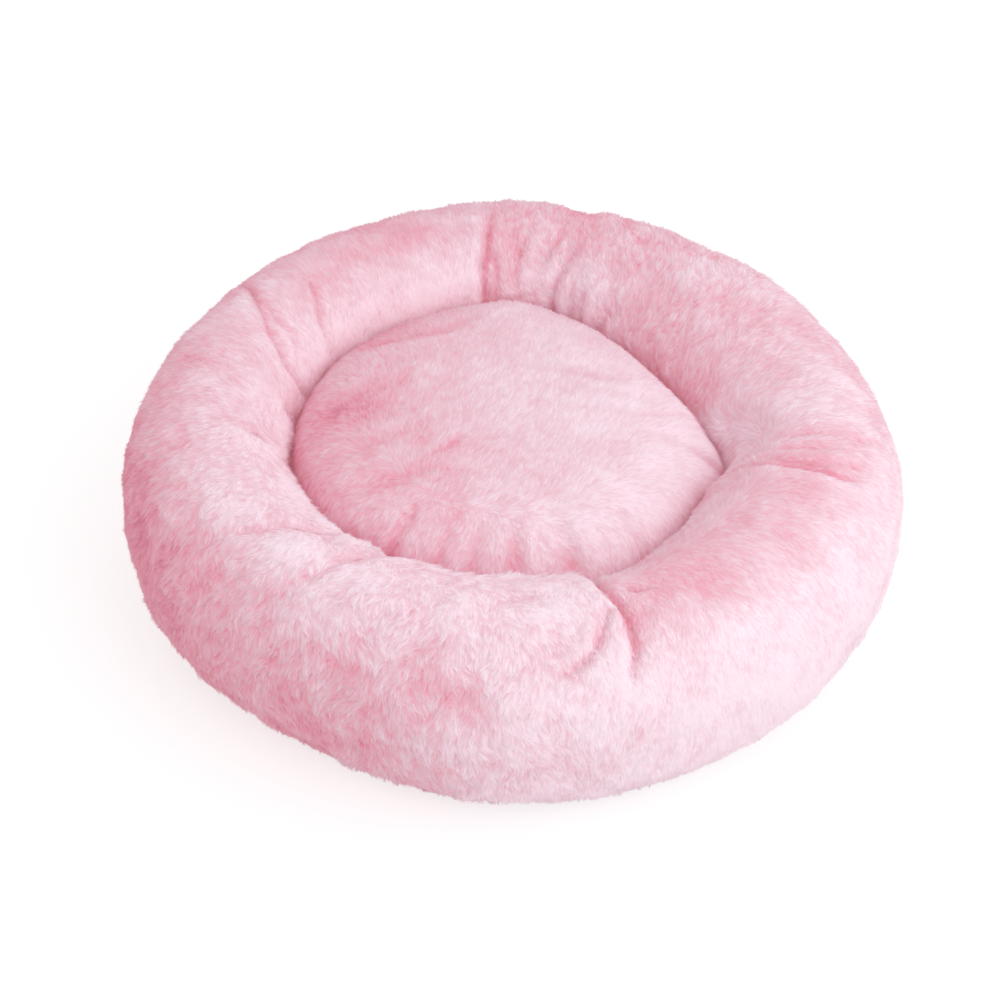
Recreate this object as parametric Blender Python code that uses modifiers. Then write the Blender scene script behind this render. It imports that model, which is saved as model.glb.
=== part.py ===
"""A round plush pet bed: a stuffed ring with a loose cushion lying in its hole, on a grip base.

Metres, +Z up. The origin lies on the floor under the middle of the bed, and the front faces -Y.
Places round the bed are shares of a full turn: 0 at +X (right), 0.25 at +Y (back), 0.5 at -X.
"""

import math

import bmesh
import bpy
import numpy as np

BED_NAME = "plush_pet_bed"

# Clearances
SEAT_GAP = 0.0003
FILLING_GAP = 0.0008
CUSHION_CLEARANCE = 0.0010

# Ring
OUTER_DIAMETER = 0.600
THROAT_DIAMETER = 0.342
RING_HEIGHT = 0.160
WIDEST_HEIGHT = 0.076
UNDERSIDE_FLATTENING = 0.009
HEM_WIDTH = 0.014
PLUSH_THICKNESS = 0.011
UPPER_EXPONENT = 2.05
LOWER_EXPONENT = 2.5

# Cushion
CUSHION_HEIGHT = 0.130
CUSHION_SEAM_HEIGHT = 0.070
CUSHION_UNDERSIDE_FLATTENING = 0.010
CUSHION_SEAM_DRAW = 0.004
CUSHION_SEAM_DRAW_REACH = 0.012
CUSHION_LINING_THICKNESS = 0.0025
CUSHION_TOP_EXPONENT = 3.3
CUSHION_BOTTOM_EXPONENT = 3.2

# Base
BASE_CLOTH_THICKNESS = 0.0025
BASE_INSET = 0.034
GRIP_SHEET_THICKNESS = 0.0015
GRIP_SHEET_INSET = 0.040
DOT_HEIGHT = 0.0012
DOT_DIAMETER = 0.010
DOT_SPACING = 0.048
DOT_EDGE_MARGIN = 0.012
DOT_SINK = 0.0006

# Outlines seen from above: (place round the bed as a share of a turn, share of the full radius).
# The stuffing has pushed the ring out between its creases, and in over the back right of the hole.
OUTER_OUTLINE_SHARES = (
    (0.000, 1.002), (0.085, 0.976), (0.167, 0.984), (0.250, 1.018), (0.333, 0.992), (0.417, 0.988),
    (0.500, 1.006), (0.583, 1.002), (0.667, 0.980), (0.750, 1.012), (0.833, 1.014), (0.917, 1.018),
)
THROAT_OUTLINE_SHARES = (
    (0.000, 0.895), (0.060, 0.812), (0.120, 0.815), (0.180, 0.905), (0.225, 1.015), (0.300, 1.000),
    (0.400, 1.000), (0.500, 1.000), (0.600, 0.985), (0.700, 0.965), (0.765, 0.985), (0.805, 1.040),
    (0.860, 0.980), (0.920, 0.935), (0.962, 0.985),
)

# Creases drawn across the ring: (place as a share of a turn, depth as a share of the ring's
# cross-section, half-width as a share of a turn).
RING_CREASE_SHARES = (
    (0.262, 0.085, 0.010),
    (0.385, 0.060, 0.016),
    (0.640, 0.050, 0.018),
    (0.790, 0.090, 0.011),
    (0.965, 0.110, 0.012),
)
# Height of the ring between the creases: (place as a share of a turn, share of the full height).
RING_HEIGHT_SHARES = (
    (0.000, 0.985), (0.125, 1.000), (0.240, 0.975), (0.320, 0.985), (0.460, 0.995), (0.560, 0.990),
    (0.700, 0.975), (0.780, 0.965), (0.870, 0.995),
)
# Gathers pulled into the cushion's rim: (place as a share of a turn, depth as a share of the
# crown's rise, half-width as a share of a turn).
CUSHION_GATHER_SHARES = (
    (0.215, 0.16, 0.030),
    (0.480, 0.12, 0.040),
    (0.728, 0.14, 0.022),
    (0.790, 0.16, 0.022),
    (0.962, 0.20, 0.028),
)

# Fineness of the soft meshes, in counts
RING_STATIONS = 30
CREASE_STATION_SHARES = (-1.5, -0.7, 0.0, 0.7, 1.5)
CREASE_REACH_SHARE = 2.0
RING_WALL_STEPS = 10
CUSHION_STATIONS = 48
CUSHION_TOP_STEPS = 8
CUSHION_BOTTOM_STEPS = 6
BASE_STATIONS = 72
DOT_SIDES = 8

# Worked-out heights, from the floor up
GRIP_SHEET_BOTTOM = DOT_HEIGHT
BASE_CLOTH_BOTTOM = GRIP_SHEET_BOTTOM + GRIP_SHEET_THICKNESS + SEAT_GAP
BASE_CLOTH_TOP = BASE_CLOTH_BOTTOM + BASE_CLOTH_THICKNESS
UPHOLSTERY_BOTTOM = BASE_CLOTH_TOP + SEAT_GAP

PLUSH_PINK = (0.80, 0.46, 0.56)
CUSHION_PINK = (0.84, 0.52, 0.61)
LINING_PINK = (0.72, 0.42, 0.50)
BASE_PINK = (0.62, 0.36, 0.43)
FIBRE_WHITE = (0.88, 0.87, 0.85)
GRIP_GREY = (0.55, 0.52, 0.52)


def clear_scene():
    for old in list(bpy.data.objects):
        bpy.data.objects.remove(old, do_unlink=True)


def new_collection(name):
    collection = bpy.data.collections.new(name)
    bpy.context.scene.collection.children.link(collection)
    return collection


def plain_material(name, colour, roughness):
    material = bpy.data.materials.new(name)
    material.use_nodes = True
    shader = material.node_tree.nodes["Principled BSDF"]
    shader.inputs["Base Color"].default_value = (*colour, 1.0)
    shader.inputs["Roughness"].default_value = roughness
    shader.inputs["Metallic"].default_value = 0.0
    return material


def round_curve(points, turn):
    """A smooth closed curve through (turn, value) points, read at the given turns.

    Each stretch is a cubic whose slope at a point is that of the line between its neighbours.
    """
    places = np.array([place for place, value in points])
    values = np.array([value for place, value in points])
    count = len(places)
    turn = np.mod(turn, 1.0)
    left = np.searchsorted(places, turn, side="right") - 1
    right = (left + 1) % count
    ahead = np.mod(np.roll(places, -1) - places, 1.0)
    behind = np.roll(ahead, 1)
    slopes = (np.roll(values, -1) - np.roll(values, 1)) / (ahead + behind)
    length = ahead[left]
    way = np.mod(turn - places[left], 1.0) / length
    start_weight = 2 * way**3 - 3 * way**2 + 1
    start_slope_weight = way**3 - 2 * way**2 + way
    end_slope_weight = way**3 - way**2
    return (
        start_weight * values[left]
        + start_slope_weight * length * slopes[left]
        + (1 - start_weight) * values[right]
        + end_slope_weight * length * slopes[right]
    )


def turn_distance(turn, place):
    """How far apart two places round the bed are, as a share of a turn, the short way."""
    return np.abs(np.mod(turn - place + 0.5, 1.0) - 0.5)


def dips(turn, table):
    """The sum of bell-shaped dips, one for each (place, depth, half-width) of a table."""
    return sum(
        depth * np.exp(-((turn_distance(turn, place) / width) ** 2))
        for place, depth, width in table
    )


def signed_power(value, power):
    return np.sign(value) * np.abs(value) ** power


def outer_radius(turn):
    return OUTER_DIAMETER / 2 * round_curve(OUTER_OUTLINE_SHARES, turn)


def throat_radius(turn):
    return THROAT_DIAMETER / 2 * round_curve(THROAT_OUTLINE_SHARES, turn)


def place_round(radius, height, turn):
    """Points at a radius and height, turned round +Z: an array of x, y and z."""
    angle = 2 * math.pi * turn
    height = height + 0 * angle
    return np.stack([radius * np.cos(angle), radius * np.sin(angle), height], axis=-1)


def inset_points(points, depth):
    """Grid points moved against their outward normals by a depth.

    Rows run round the bed and close. Columns run along the section. The normal is the cross
    product of the differences along columns and along rows.
    """
    along_rows = np.roll(points, -1, axis=0) - np.roll(points, 1, axis=0)
    along_columns = np.gradient(points, axis=1)
    normal = np.cross(along_columns, along_rows)
    size = np.linalg.norm(normal, axis=2, keepdims=True)
    normal /= np.where(size > 0, size, 1)
    return points - normal * np.reshape(depth, (1, -1, 1))


def ring_stations():
    """Places of the ring's cross-sections: even steps, and closer ones at each crease."""
    even = np.arange(RING_STATIONS) / RING_STATIONS
    for place, depth, width in RING_CREASE_SHARES:
        even = even[turn_distance(even, place) > CREASE_REACH_SHARE * width]
    close = [
        np.mod(place + np.array(CREASE_STATION_SHARES) * width, 1.0)
        for place, depth, width in RING_CREASE_SHARES
    ]
    return np.sort(np.concatenate([even, *close]))


def ring_section(turn):
    """Points of the ring's outer skin: one row of points for each place round the bed.

    A section runs from the inner hem, up the wall of the hole, over the top and down the outside
    to the outer hem. Its upper and lower halves are superellipses about the widest height, and
    the lower one is pressed flat where the ring lies on the base cloth. A crease shrinks the
    section towards its own middle.
    """
    outer = outer_radius(turn)
    throat = throat_radius(turn)
    middle = (outer + throat) / 2
    half_width = (outer - throat) / 2
    top_rise = RING_HEIGHT * round_curve(RING_HEIGHT_SHARES, turn) - WIDEST_HEIGHT
    bottom_drop = WIDEST_HEIGHT + UNDERSIDE_FLATTENING
    flat_share = (1 - (WIDEST_HEIGHT / bottom_drop) ** LOWER_EXPONENT) ** (1 / LOWER_EXPONENT)
    flat_angle = math.asin(flat_share ** (LOWER_EXPONENT / 2))
    angles = np.linspace(flat_angle, 2 * math.pi - flat_angle, RING_WALL_STEPS + 1)
    is_upper = np.cos(angles) < 0
    power = np.where(is_upper, 2 / UPPER_EXPONENT, 2 / LOWER_EXPONENT)
    across = -signed_power(np.sin(angles), power)
    rise = -signed_power(np.cos(angles), power)
    shrink = 1 - dips(turn, RING_CREASE_SHARES)
    radius = middle[:, None] + (half_width * shrink)[:, None] * across[None, :]
    upper_height = (top_rise * shrink)[:, None] * rise[None, :]
    lower_height = bottom_drop * rise[None, :] + 0 * shrink[:, None]
    height = WIDEST_HEIGHT + np.where(is_upper[None, :], upper_height, lower_height)
    height = UPHOLSTERY_BOTTOM + np.maximum(height, 0)
    hem_inner = radius[:, :1] + HEM_WIDTH
    hem_outer = radius[:, -1:] - HEM_WIDTH
    radius = np.concatenate([hem_inner, radius, hem_outer], axis=1)
    hem_height = np.full_like(hem_inner, UPHOLSTERY_BOTTOM)
    height = np.concatenate([hem_height, height, hem_height], axis=1)
    return place_round(radius, height, turn[:, None])


def cushion_profile(angles, bottom_drop):
    """Share of the rim radius, and height from the seam, at angles from the pole to the pole."""
    upper = angles <= math.pi / 2
    power = np.where(upper, 2 / CUSHION_TOP_EXPONENT, 2 / CUSHION_BOTTOM_EXPONENT)
    share = np.abs(np.sin(angles)) ** power
    rise = signed_power(np.cos(angles), power)
    top_rise = CUSHION_HEIGHT - CUSHION_SEAM_HEIGHT
    height = np.where(upper, top_rise, bottom_drop) * rise
    return share, height


def cushion_surface(angles, turn):
    """Points of the cushion's skin: rows go round the bed, columns from pole towards pole.

    The crown and the underside are superellipses about the seam. The rim follows the hole's
    outline less the clearance, and is drawn in at the seam. Gathers pull the crown's edge down,
    and the underside is pressed flat on the base cloth.
    """
    share, height = cushion_profile(angles, CUSHION_SEAM_HEIGHT + CUSHION_UNDERSIDE_FLATTENING)
    rim = throat_radius(turn) - CUSHION_CLEARANCE
    draw = CUSHION_SEAM_DRAW * np.exp(-((height / CUSHION_SEAM_DRAW_REACH) ** 2))
    radius = rim[:, None] * share[None, :] - draw[None, :]
    pull = dips(turn, CUSHION_GATHER_SHARES)[:, None] * (share**3)[None, :]
    height = height[None, :] * np.where(height > 0, 1 - pull, 1.0)
    height = UPHOLSTERY_BOTTOM + np.maximum(CUSHION_SEAM_HEIGHT + height, 0)
    return place_round(np.maximum(radius, 0), height, turn[:, None])


def mesh_object(name, vertices, faces, collection, material):
    mesh = bpy.data.meshes.new(name)
    mesh.from_pydata(vertices, [], faces)
    mesh.shade_smooth()
    mesh.materials.append(material)
    piece = bpy.data.objects.new(name, mesh)
    collection.objects.link(piece)
    return piece


def loft_faces(rows, columns, closed_columns):
    """Quads of a grid whose rows close round the bed, and whose columns may close too."""
    last = columns if closed_columns else columns - 1
    return [
        (
            row * columns + column,
            row * columns + (column + 1) % columns,
            (row + 1) % rows * columns + (column + 1) % columns,
            (row + 1) % rows * columns + column,
        )
        for row in range(rows)
        for column in range(last)
    ]


def dome_mesh(points, bottom_closed):
    """Vertices and faces of a grid whose first column, and perhaps last, is a single pole."""
    rows, columns = points.shape[:2]
    last = columns - 1 if bottom_closed else columns
    ring_columns = last - 1
    vertices = [tuple(points[0, 0])]
    vertices += [tuple(point) for point in points[:, 1:last].reshape(-1, 3)]
    first = 1
    faces = [
        (0, first + row * ring_columns, first + (row + 1) % rows * ring_columns)
        for row in range(rows)
    ]
    for face in loft_faces(rows, ring_columns, False):
        faces.append(tuple(first + corner for corner in face))
    if bottom_closed:
        vertices.append(tuple(points[0, -1]))
        pole = len(vertices) - 1
        end = first + ring_columns - 1
        for row in range(rows):
            faces.append((pole, end + (row + 1) % rows * ring_columns, end + row * ring_columns))
    return vertices, faces


def add_wall(piece, thickness):
    """Give an open skin its thickness on the inside."""
    wall = piece.modifiers.new("wall", "SOLIDIFY")
    wall.thickness = thickness
    wall.offset = -1.0
    wall.use_even_offset = False
    wall.use_rim = True


def flat_outline(name, inset, bottom, thickness, collection, material):
    """A flat sheet cut to the ring's outline less an inset, as a filled curve made a mesh."""
    turn = np.arange(BASE_STATIONS) / BASE_STATIONS
    outline = place_round(outer_radius(turn) - inset, 0.0, turn)
    curve = bpy.data.curves.new(name, "CURVE")
    curve.dimensions = "2D"
    curve.fill_mode = "BOTH"
    curve.extrude = thickness / 2
    spline = curve.splines.new("POLY")
    spline.points.add(BASE_STATIONS - 1)
    for point, place in zip(spline.points, outline):
        point.co = (*place, 1.0)
    spline.use_cyclic_u = True
    guide = bpy.data.objects.new(name + "_outline", curve)
    guide.location.z = bottom + thickness / 2
    collection.objects.link(guide)
    bpy.context.view_layer.update()
    evaluated = guide.evaluated_get(bpy.context.evaluated_depsgraph_get())
    mesh = bpy.data.meshes.new_from_object(evaluated)
    shape = bmesh.new()
    shape.from_mesh(mesh)
    bmesh.ops.remove_doubles(shape, verts=shape.verts, dist=SEAT_GAP / 10)
    bmesh.ops.recalc_face_normals(shape, faces=shape.faces)
    shape.to_mesh(mesh)
    shape.free()
    mesh.materials.clear()
    mesh.materials.append(material)
    sheet = bpy.data.objects.new(name, mesh)
    sheet.matrix_world = guide.matrix_world
    collection.objects.link(sheet)
    bpy.data.objects.remove(guide, do_unlink=True)
    return sheet


def dot_places():
    """Centres of the grip dots: a triangular pattern kept inside the sheet's edge."""
    row_step = DOT_SPACING * math.sqrt(3) / 2
    rows = int(OUTER_DIAMETER / 2 / row_step) + 1
    columns = int(OUTER_DIAMETER / 2 / DOT_SPACING) + 1
    places = []
    for row in range(-rows, rows + 1):
        for column in range(-columns, columns + 1):
            x = (column + (row % 2) / 2) * DOT_SPACING
            y = row * row_step
            turn = np.array([math.atan2(y, x) / (2 * math.pi)])
            edge = float(outer_radius(turn)[0]) - GRIP_SHEET_INSET - DOT_EDGE_MARGIN
            if math.hypot(x, y) <= edge:
                places.append((x, y))
    return places


def make_bolster_cover(collection):
    """The plush sleeve of the ring, open underneath between its two hems."""
    turn = ring_stations()
    points = ring_section(turn)
    rows, columns = points.shape[:2]
    faces = loft_faces(rows, columns, False)
    material = plain_material("ring_plush", PLUSH_PINK, 0.95)
    cover = mesh_object("bolster_cover", points.reshape(-1, 3), faces, collection, material)
    add_wall(cover, PLUSH_THICKNESS)
    return cover


def make_bolster_filling(collection):
    """The fibre inside the sleeve: it sinks into the opening between the hems."""
    turn = ring_stations()
    skin = ring_section(turn)
    wall = inset_points(skin, np.full(skin.shape[1], PLUSH_THICKNESS + FILLING_GAP))
    wall = wall[:, 1:-1]
    step = HEM_WIDTH + FILLING_GAP
    sunk = []
    for column, sign in ((1, 1), (-2, -1)):
        radius = np.hypot(skin[:, column, 0], skin[:, column, 1]) + sign * step
        for height in (PLUSH_THICKNESS + FILLING_GAP, 0.0):
            sunk.append(place_round(radius, UPHOLSTERY_BOTTOM + height, turn))
    inner_high, inner_low, outer_high, outer_low = (points[:, None] for points in sunk)
    wall[:, 0, 2] = UPHOLSTERY_BOTTOM + PLUSH_THICKNESS + FILLING_GAP
    wall[:, -1, 2] = UPHOLSTERY_BOTTOM + PLUSH_THICKNESS + FILLING_GAP
    points = np.concatenate([inner_low, inner_high, wall, outer_high, outer_low], axis=1)
    rows, columns = points.shape[:2]
    material = plain_material("ring_fibre", FIBRE_WHITE, 1.0)
    faces = loft_faces(rows, columns, True)
    return mesh_object("bolster_filling", points.reshape(-1, 3), faces, collection, material)


def make_cushion_panel(name, angles, thickness, material, collection, parent):
    """One cloth panel of the cushion's cover, from its pole to the seam."""
    turn = np.arange(CUSHION_STATIONS) / CUSHION_STATIONS
    points = cushion_surface(angles, turn)
    vertices, faces = dome_mesh(points, False)
    if angles[0] > angles[-1]:
        faces = [face[::-1] for face in faces]
    panel = mesh_object(name, vertices, faces, collection, material)
    add_wall(panel, thickness)
    panel.parent = parent
    panel.matrix_parent_inverse = parent.matrix_world.inverted()
    return panel


def make_cushion(collection):
    """The loose cushion: a plush top, a lining below and the fibre between them."""
    lift = bpy.data.objects.new("cushion_lift", None)
    lift.location = (0.0, 0.0, UPHOLSTERY_BOTTOM)
    collection.objects.link(lift)
    bpy.context.view_layer.update()
    seam = math.pi / 2
    seam_step = SEAT_GAP / 2 / (CUSHION_HEIGHT - CUSHION_SEAM_HEIGHT)
    top_end = math.acos(seam_step ** (CUSHION_TOP_EXPONENT / 2))
    bottom_step = SEAT_GAP / 2 / (CUSHION_SEAM_HEIGHT + CUSHION_UNDERSIDE_FLATTENING)
    bottom_start = math.pi - math.acos(bottom_step ** (CUSHION_BOTTOM_EXPONENT / 2))
    top_angles = np.linspace(0, top_end, CUSHION_TOP_STEPS + 1)
    bottom_angles = np.linspace(math.pi, bottom_start, CUSHION_BOTTOM_STEPS + 1)
    make_cushion_panel(
        "cushion_top_panel", top_angles, PLUSH_THICKNESS,
        plain_material("cushion_plush", CUSHION_PINK, 0.95), collection, lift,
    )
    make_cushion_panel(
        "cushion_bottom_panel", bottom_angles, CUSHION_LINING_THICKNESS,
        plain_material("cushion_lining", LINING_PINK, 0.9), collection, lift,
    )
    make_cushion_filling(collection, lift, seam)
    return lift


def make_cushion_filling(collection, parent, seam):
    """The cushion's fibre: the skin set in by each panel's thickness."""
    turn = np.arange(CUSHION_STATIONS) / CUSHION_STATIONS
    upper = np.linspace(0, seam, CUSHION_TOP_STEPS + 1)
    lower = np.linspace(seam, math.pi, CUSHION_BOTTOM_STEPS + 1)[1:]
    angles = np.concatenate([upper, lower])
    plush_depth = PLUSH_THICKNESS + FILLING_GAP
    lining_depth = CUSHION_LINING_THICKNESS + FILLING_GAP
    depth = np.where(angles <= seam, plush_depth, lining_depth)
    skin = cushion_surface(angles, turn)
    points = inset_points(skin, depth)
    points[:, 0] = skin[:, 0] - np.array([0, 0, plush_depth])
    points[:, -1] = skin[:, -1] + np.array([0, 0, lining_depth])
    vertices, faces = dome_mesh(points, True)
    material = plain_material("cushion_fibre", FIBRE_WHITE, 1.0)
    filling = mesh_object("cushion_filling", vertices, faces, collection, material)
    filling.parent = parent
    filling.matrix_parent_inverse = parent.matrix_world.inverted()
    return filling


def make_base(collection, cutters):
    """The base cloth under ring and cushion, and the dotted grip sheet under that."""
    flat_outline(
        "base_cloth", BASE_INSET, BASE_CLOTH_BOTTOM, BASE_CLOTH_THICKNESS, collection,
        plain_material("base_weave", BASE_PINK, 0.85),
    )
    grip = plain_material("grip_rubber", GRIP_GREY, 0.7)
    sheet = flat_outline(
        "grip_sheet", GRIP_SHEET_INSET, GRIP_SHEET_BOTTOM, GRIP_SHEET_THICKNESS, collection, grip,
    )
    shape = bmesh.new()
    depth = DOT_HEIGHT + DOT_SINK
    for x, y in dot_places():
        dot = bmesh.ops.create_cone(
            shape, cap_ends=True, segments=DOT_SIDES, radius1=DOT_DIAMETER / 2,
            radius2=DOT_DIAMETER / 2, depth=depth,
        )
        bmesh.ops.translate(shape, verts=dot["verts"], vec=(x, y, depth / 2))
    mesh = bpy.data.meshes.new("grip_dots")
    shape.to_mesh(mesh)
    shape.free()
    dots = bpy.data.objects.new("grip_dots", mesh)
    dots.hide_render = True
    dots.display_type = "WIRE"
    cutters.objects.link(dots)
    join = sheet.modifiers.new("dots", "BOOLEAN")
    join.operation = "UNION"
    join.solver = "EXACT"
    join.object = dots
    return sheet


def main():
    clear_scene()
    bed = new_collection(BED_NAME)
    cutters = new_collection("cutters")
    make_base(bed, cutters)
    make_bolster_cover(bed)
    make_bolster_filling(bed)
    make_cushion(bed)


main()
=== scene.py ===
"""Looks of a round plush pet bed: its skins, pile, cloths and grip sheet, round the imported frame.

Metres, +Z up, in the frame of the part. Two shares give a place on the ring. A turn share goes
round the bed: 0 at +X, 0.25 at +Y (the back), 0.5 at -X and 0.75 at the front. A section share
goes round the ring's cross-section: 0 underneath, 0.25 on the wall of the hole, 0.5 on the
crest and 0.75 on the outside.
"""

import math
from collections import namedtuple

import bpy
import numpy as np
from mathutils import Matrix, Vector


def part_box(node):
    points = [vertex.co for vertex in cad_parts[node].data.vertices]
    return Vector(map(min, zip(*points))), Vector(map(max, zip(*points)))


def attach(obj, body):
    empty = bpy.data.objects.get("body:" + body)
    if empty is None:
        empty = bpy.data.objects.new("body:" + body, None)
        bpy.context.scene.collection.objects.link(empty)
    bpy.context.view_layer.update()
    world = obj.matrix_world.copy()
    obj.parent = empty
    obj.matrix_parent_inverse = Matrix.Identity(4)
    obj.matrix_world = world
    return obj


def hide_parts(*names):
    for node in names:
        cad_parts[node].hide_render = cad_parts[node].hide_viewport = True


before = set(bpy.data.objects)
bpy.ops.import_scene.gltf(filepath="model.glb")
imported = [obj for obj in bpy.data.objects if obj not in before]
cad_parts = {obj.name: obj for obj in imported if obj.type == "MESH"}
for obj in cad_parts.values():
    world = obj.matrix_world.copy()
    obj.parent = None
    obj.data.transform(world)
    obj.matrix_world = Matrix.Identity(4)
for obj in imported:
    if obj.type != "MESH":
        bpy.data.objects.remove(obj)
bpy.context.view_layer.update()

# Sizes that the part has too
OUTER_DIAMETER = 0.600
THROAT_DIAMETER = 0.342
RING_HEIGHT = 0.160
WIDEST_HEIGHT = 0.076
UNDERSIDE_FLATTENING = 0.009
UPPER_EXPONENT = 2.05
LOWER_EXPONENT = 2.5
CUSHION_CLEARANCE = 0.0010
CUSHION_HEIGHT = 0.130
CUSHION_SEAM_HEIGHT = 0.070
CUSHION_UNDERSIDE_FLATTENING = 0.010
CUSHION_BOTTOM_EXPONENT = 3.2
CUSHION_SEAM_DRAW = 0.004
CUSHION_SEAM_DRAW_REACH = 0.012
UPHOLSTERY_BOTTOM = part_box("bolster_cover")[0].z

# Outlines seen from above: (turn share, share of the full radius), as in the part
OUTER_OUTLINE_SHARES = (
    (0.000, 1.002), (0.085, 0.976), (0.167, 0.984), (0.250, 1.018), (0.333, 0.992), (0.417, 0.988),
    (0.500, 1.006), (0.583, 1.002), (0.667, 0.980), (0.750, 1.012), (0.833, 1.014), (0.917, 1.018),
)
THROAT_OUTLINE_SHARES = (
    (0.000, 0.895), (0.060, 0.812), (0.120, 0.815), (0.180, 0.905), (0.225, 1.015), (0.300, 1.000),
    (0.400, 1.000), (0.500, 1.000), (0.600, 0.985), (0.700, 0.965), (0.765, 0.985), (0.805, 1.040),
    (0.860, 0.980), (0.920, 0.935), (0.962, 0.985),
)
RING_HEIGHT_SHARES = (
    (0.000, 0.985), (0.125, 1.000), (0.240, 0.975), (0.320, 0.985), (0.460, 0.995), (0.560, 0.990),
    (0.700, 0.975), (0.780, 0.965), (0.870, 0.995),
)
CUSHION_GATHER_SHARES = (
    (0.215, 0.16, 0.030),
    (0.480, 0.12, 0.040),
    (0.728, 0.14, 0.022),
    (0.790, 0.16, 0.022),
    (0.962, 0.20, 0.028),
)

# The crown's shoulder is fuller than the part's, as it is when squeezed against the ring
CUSHION_TOP_EXPONENT = 4.4

# The pile stands on skins that lie this far inside the part's surfaces
RING_PILE_DEPTH = 0.0043
CUSHION_PILE_DEPTH = 0.0030
# How much of that depth is left on the wall of the hole and on the cushion's rim
THROAT_INSET_SHARE = 0.15

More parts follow.
